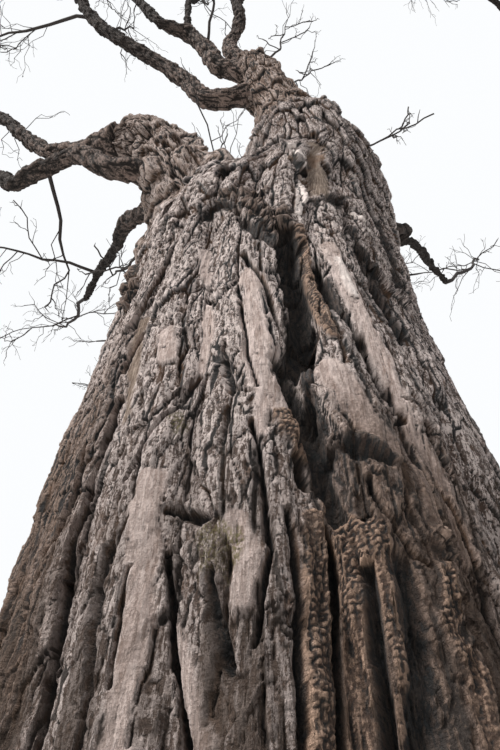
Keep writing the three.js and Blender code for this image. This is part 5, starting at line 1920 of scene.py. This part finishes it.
def dress_limb(name, skeleton, finishes, number):
    """A stem's or a bough's bark, as one closed tube with rounded ends."""
    limb = LIMBS[name]
    kind = STEM_BARKS.get(name, BOUGH_BARK)
    girth = 2 * np.pi * max(limb["radii"]) * MM
    sides = max(int(girth / kind["round"]), FEWEST_SIDES)
    seed = LIMB_BARK_SEED + LIMB_BARK_SEED_STEP * number
    points, radii, far = fine_line(skeleton.knots[name], limb["radii"], kind["along"])
    _, side, over = frames_along(points)
    angles = np.linspace(0, 2 * np.pi, sides, endpoint=False)
    turn, along = np.broadcast_arrays(angles[None], far[:, None])
    out = side[:, None] * np.cos(turn)[..., None] + over[:, None] * np.sin(turn)[..., None]
    base = points[:, None] + out * radii[:, None, None]
    relief, tone, crack = limb_relief(turn, along, radii, kind, seed)
    reach = min(LIMB_FILLET * radii.max(), WIDEST_FILLET)
    joints = bough_junction(base.reshape(-1, 3), skeleton, [name], reach)
    grid = base + out * (relief + joints.reshape(relief.shape))[..., None]
    end = np.clip((far[-1] - far) / (ROUND_END * radii[-1]), 0, 1)
    cap = np.sqrt(np.clip(1 - (1 - end) ** 2, SMALLEST_END, 1))
    grid = points[:, None] + (grid - points[:, None]) * cap[:, None, None]
    still = np.zeros_like(tone)
    thick = smooth_step(*PALE_RADII, radii) * (1 - PALE_LOSS * smooth_step(*PALE_REACH, far))
    fields = {field: still for field in BARK_FIELDS} | {
        "tone": tone, "chip": tone, "crack": crack, "ropy": still + LIMB_ROPINESS,
        # How much painted shade darkens a stem's bark, below 0 painted light that lightens it.
        "painted_light_and_shade": still + kind["painted_light_and_shade"], "thick": still + thick[:, None],
    }
    fields |= shade_fields(relief, *LIMB_SHADING, LIMB_HOLLOW * kind["plates"]["depth"], LIMB_EDGE)
    tube_piece(
        name + "_bark", grid, fields, finishes[kind["finish"]], [name],
        angles * radii.mean(), far,
    )


# The twigs

# How many sides a twig of each level has, and how much a thick one bends and narrows between joints.
TWIG_SIDES = (6, 5, 4, 3, 3)
BEND_SHARE = 0.16
NARROWINGS = (0.88, 1.04)
TWIG_PIECES = {
    "left_twigs": ("left_high", "left_low", "trunk_left"),
    "left_back_twigs": ("left_back", "back_left", "right_back"),
    "upper_twigs": ("upper_left", "leader", "crotch", "shoulder"),
    "top_twigs": ("top_left", "top_middle", "top_tip"),
    "right_twigs": ("right_arch", "right_hanging", "right_front"),
    "front_twigs": ("front_arch", "front_left"),
    "back_twigs": ("back_low", "back_right", "back_top"),
}


def bent(points, radii, seed):
    """A thick twig's points with one more between every two, moved off a little."""
    dice = Dice(seed + 1)
    more, wide = [points[0]], [radii[0]]
    for a, b, ra, rb in zip(points, points[1:], radii, radii[1:]):
        long = np.linalg.norm(b - a)
        more += [lerp(a, b, 0.5) + dice.any_way() * long * BEND_SHARE, b]
        wide += [lerp(ra, rb, 0.5) * lerp(*NARROWINGS, dice.roll()), rb]
    return np.array(more), np.array(wide)


def twig_rings(twig):
    """A twig's grid of rings, in metres."""
    points, radii = twig["points"], twig["radii"]
    if twig["level"] < SOLID_LEVELS:
        points, radii = bent(points, radii, twig["seed"])
    points, radii = points * MM, radii * MM
    sides = TWIG_SIDES[twig["level"]]
    _, side, over = frames_along(points)
    turn = np.linspace(0, 2 * np.pi, sides, endpoint=False)
    out = side[:, None] * np.cos(turn)[:, None] + over[:, None] * np.sin(turn)[:, None]
    return points[:, None] + out * radii[:, None, None]


def dress_twigs(crown, material):
    """The twigs of each family of sprays, as one piece."""
    for name, families in TWIG_PIECES.items():
        points, quads, triangles, replaced = [], [], [], []
        count = 0
        for number, spray in enumerate(crown.sprays):
            if not spray["name"].startswith(families):
                continue
            replaced.append(spray["name"])
            for twig in crown.grow(number):
                grid = twig_rings(twig)
                rings, sides = grid.shape[:2]
                wall, caps = ring_faces(rings, sides)
                points += [grid.reshape(-1, 3), grid[0].mean(0)[None], grid[-1].mean(0)[None]]
                quads.append(wall + count)
                triangles.append(caps + count)
                count += rings * sides + 2
        faces = [np.vstack(quads), np.vstack(triangles)]
        new_piece(name, np.vstack(points), faces, material, replaced)


# The camera, the light and the floor

FARTHEST_SEEN = 200
SKY = (0.97, 0.985, 1.0, 1)
SKY_LIGHT_ABOVE = 0.85
SKY_LIGHT_BELOW = 0.2
SKY_BAND = (-0.3, 0.8)
LAMP_POWER = 4.7
LAMP_WIDTH = math.radians(25)
LAMP_TINT = (1.0, 0.97, 0.93)
LAMP_TURN = (math.radians(40), 0, math.radians(-52))
FLOOR_REACH = 25.0
FLOOR_DROP = 0.002
FLOOR_GREYS = ((0.56, 0.56, 0.55, 1), (0.6, 0.6, 0.59, 1))


def add_camera():
    lens = bpy.data.cameras.new("camera")
    lens.lens = LENS
    lens.sensor_width = SENSOR
    lens.clip_end = FARTHEST_SEEN
    camera = bpy.data.objects.new("camera", lens)
    camera.location = EYE
    camera.rotation_euler = (math.pi / 2 + CAMERA_TILT, 0, 0)
    bpy.context.scene.collection.objects.link(camera)
    bpy.context.scene.camera = camera


def add_light():
    """A white studio that is seen plain, and lights the tree more from above than from below."""
    world = bpy.data.worlds.new("studio")
    bpy.context.scene.world = world
    shade = Shade(world)
    seen = shade.node("ShaderNodeLightPath", {}, {}, "Is Camera Ray")
    way = shade.node("ShaderNodeTexCoord", {}, {}, "Generated")
    upward = shade.node("ShaderNodeSeparateXYZ", {}, {0: way}, "Z")
    light = upward.ramp(*SKY_BAND, SKY_LIGHT_BELOW, SKY_LIGHT_ABOVE)
    back = shade.node("ShaderNodeBackground", {}, {"Color": SKY, "Strength": light.most(seen)})
    shade.node("ShaderNodeOutputWorld", {}, {"Surface": back})
    sun = bpy.data.lights.new("softbox", "SUN")
    sun.energy = LAMP_POWER
    sun.angle = LAMP_WIDTH
    sun.color = LAMP_TINT
    lamp = bpy.data.objects.new("softbox", sun)
    lamp.rotation_euler = LAMP_TURN
    bpy.context.scene.collection.objects.link(lamp)


def add_floor():
    """A pale floor under the tree, which is stage and not part of it."""
    mesh = bpy.data.meshes.new("floor")
    far = FLOOR_REACH
    mesh.from_pydata([(-far, -far, 0), (far, -far, 0), (far, far, 0), (-far, far, 0)], [], [(0, 1, 2, 3)])
    floor = bpy.data.objects.new("floor", mesh)
    floor.location.z = -FLOOR_DROP
    bpy.context.scene.collection.objects.link(floor)
    shade = Shade(bpy.data.materials.new("pale_floor"))
    grey = shade.grain(*FLOOR_GRAIN)
    colour = shade.mix(grey, *FLOOR_GREYS)
    mesh.materials.append(shade.finish(colour, grey, roughness=0.8, bump_distance=0.001))


bpy.context.scene.view_settings.view_transform = "Standard"
add_camera()
add_light()
add_floor()

skeleton = Skeleton()
finishes = {"trunk_bark": trunk_bark(), "limb_bark": bough_bark()}
dress_column(skeleton, finishes["trunk_bark"])
for number, name in enumerate(LIMBS):
    dress_limb(name, skeleton, finishes, number)
dress_twigs(Crown(skeleton), twig_bark())
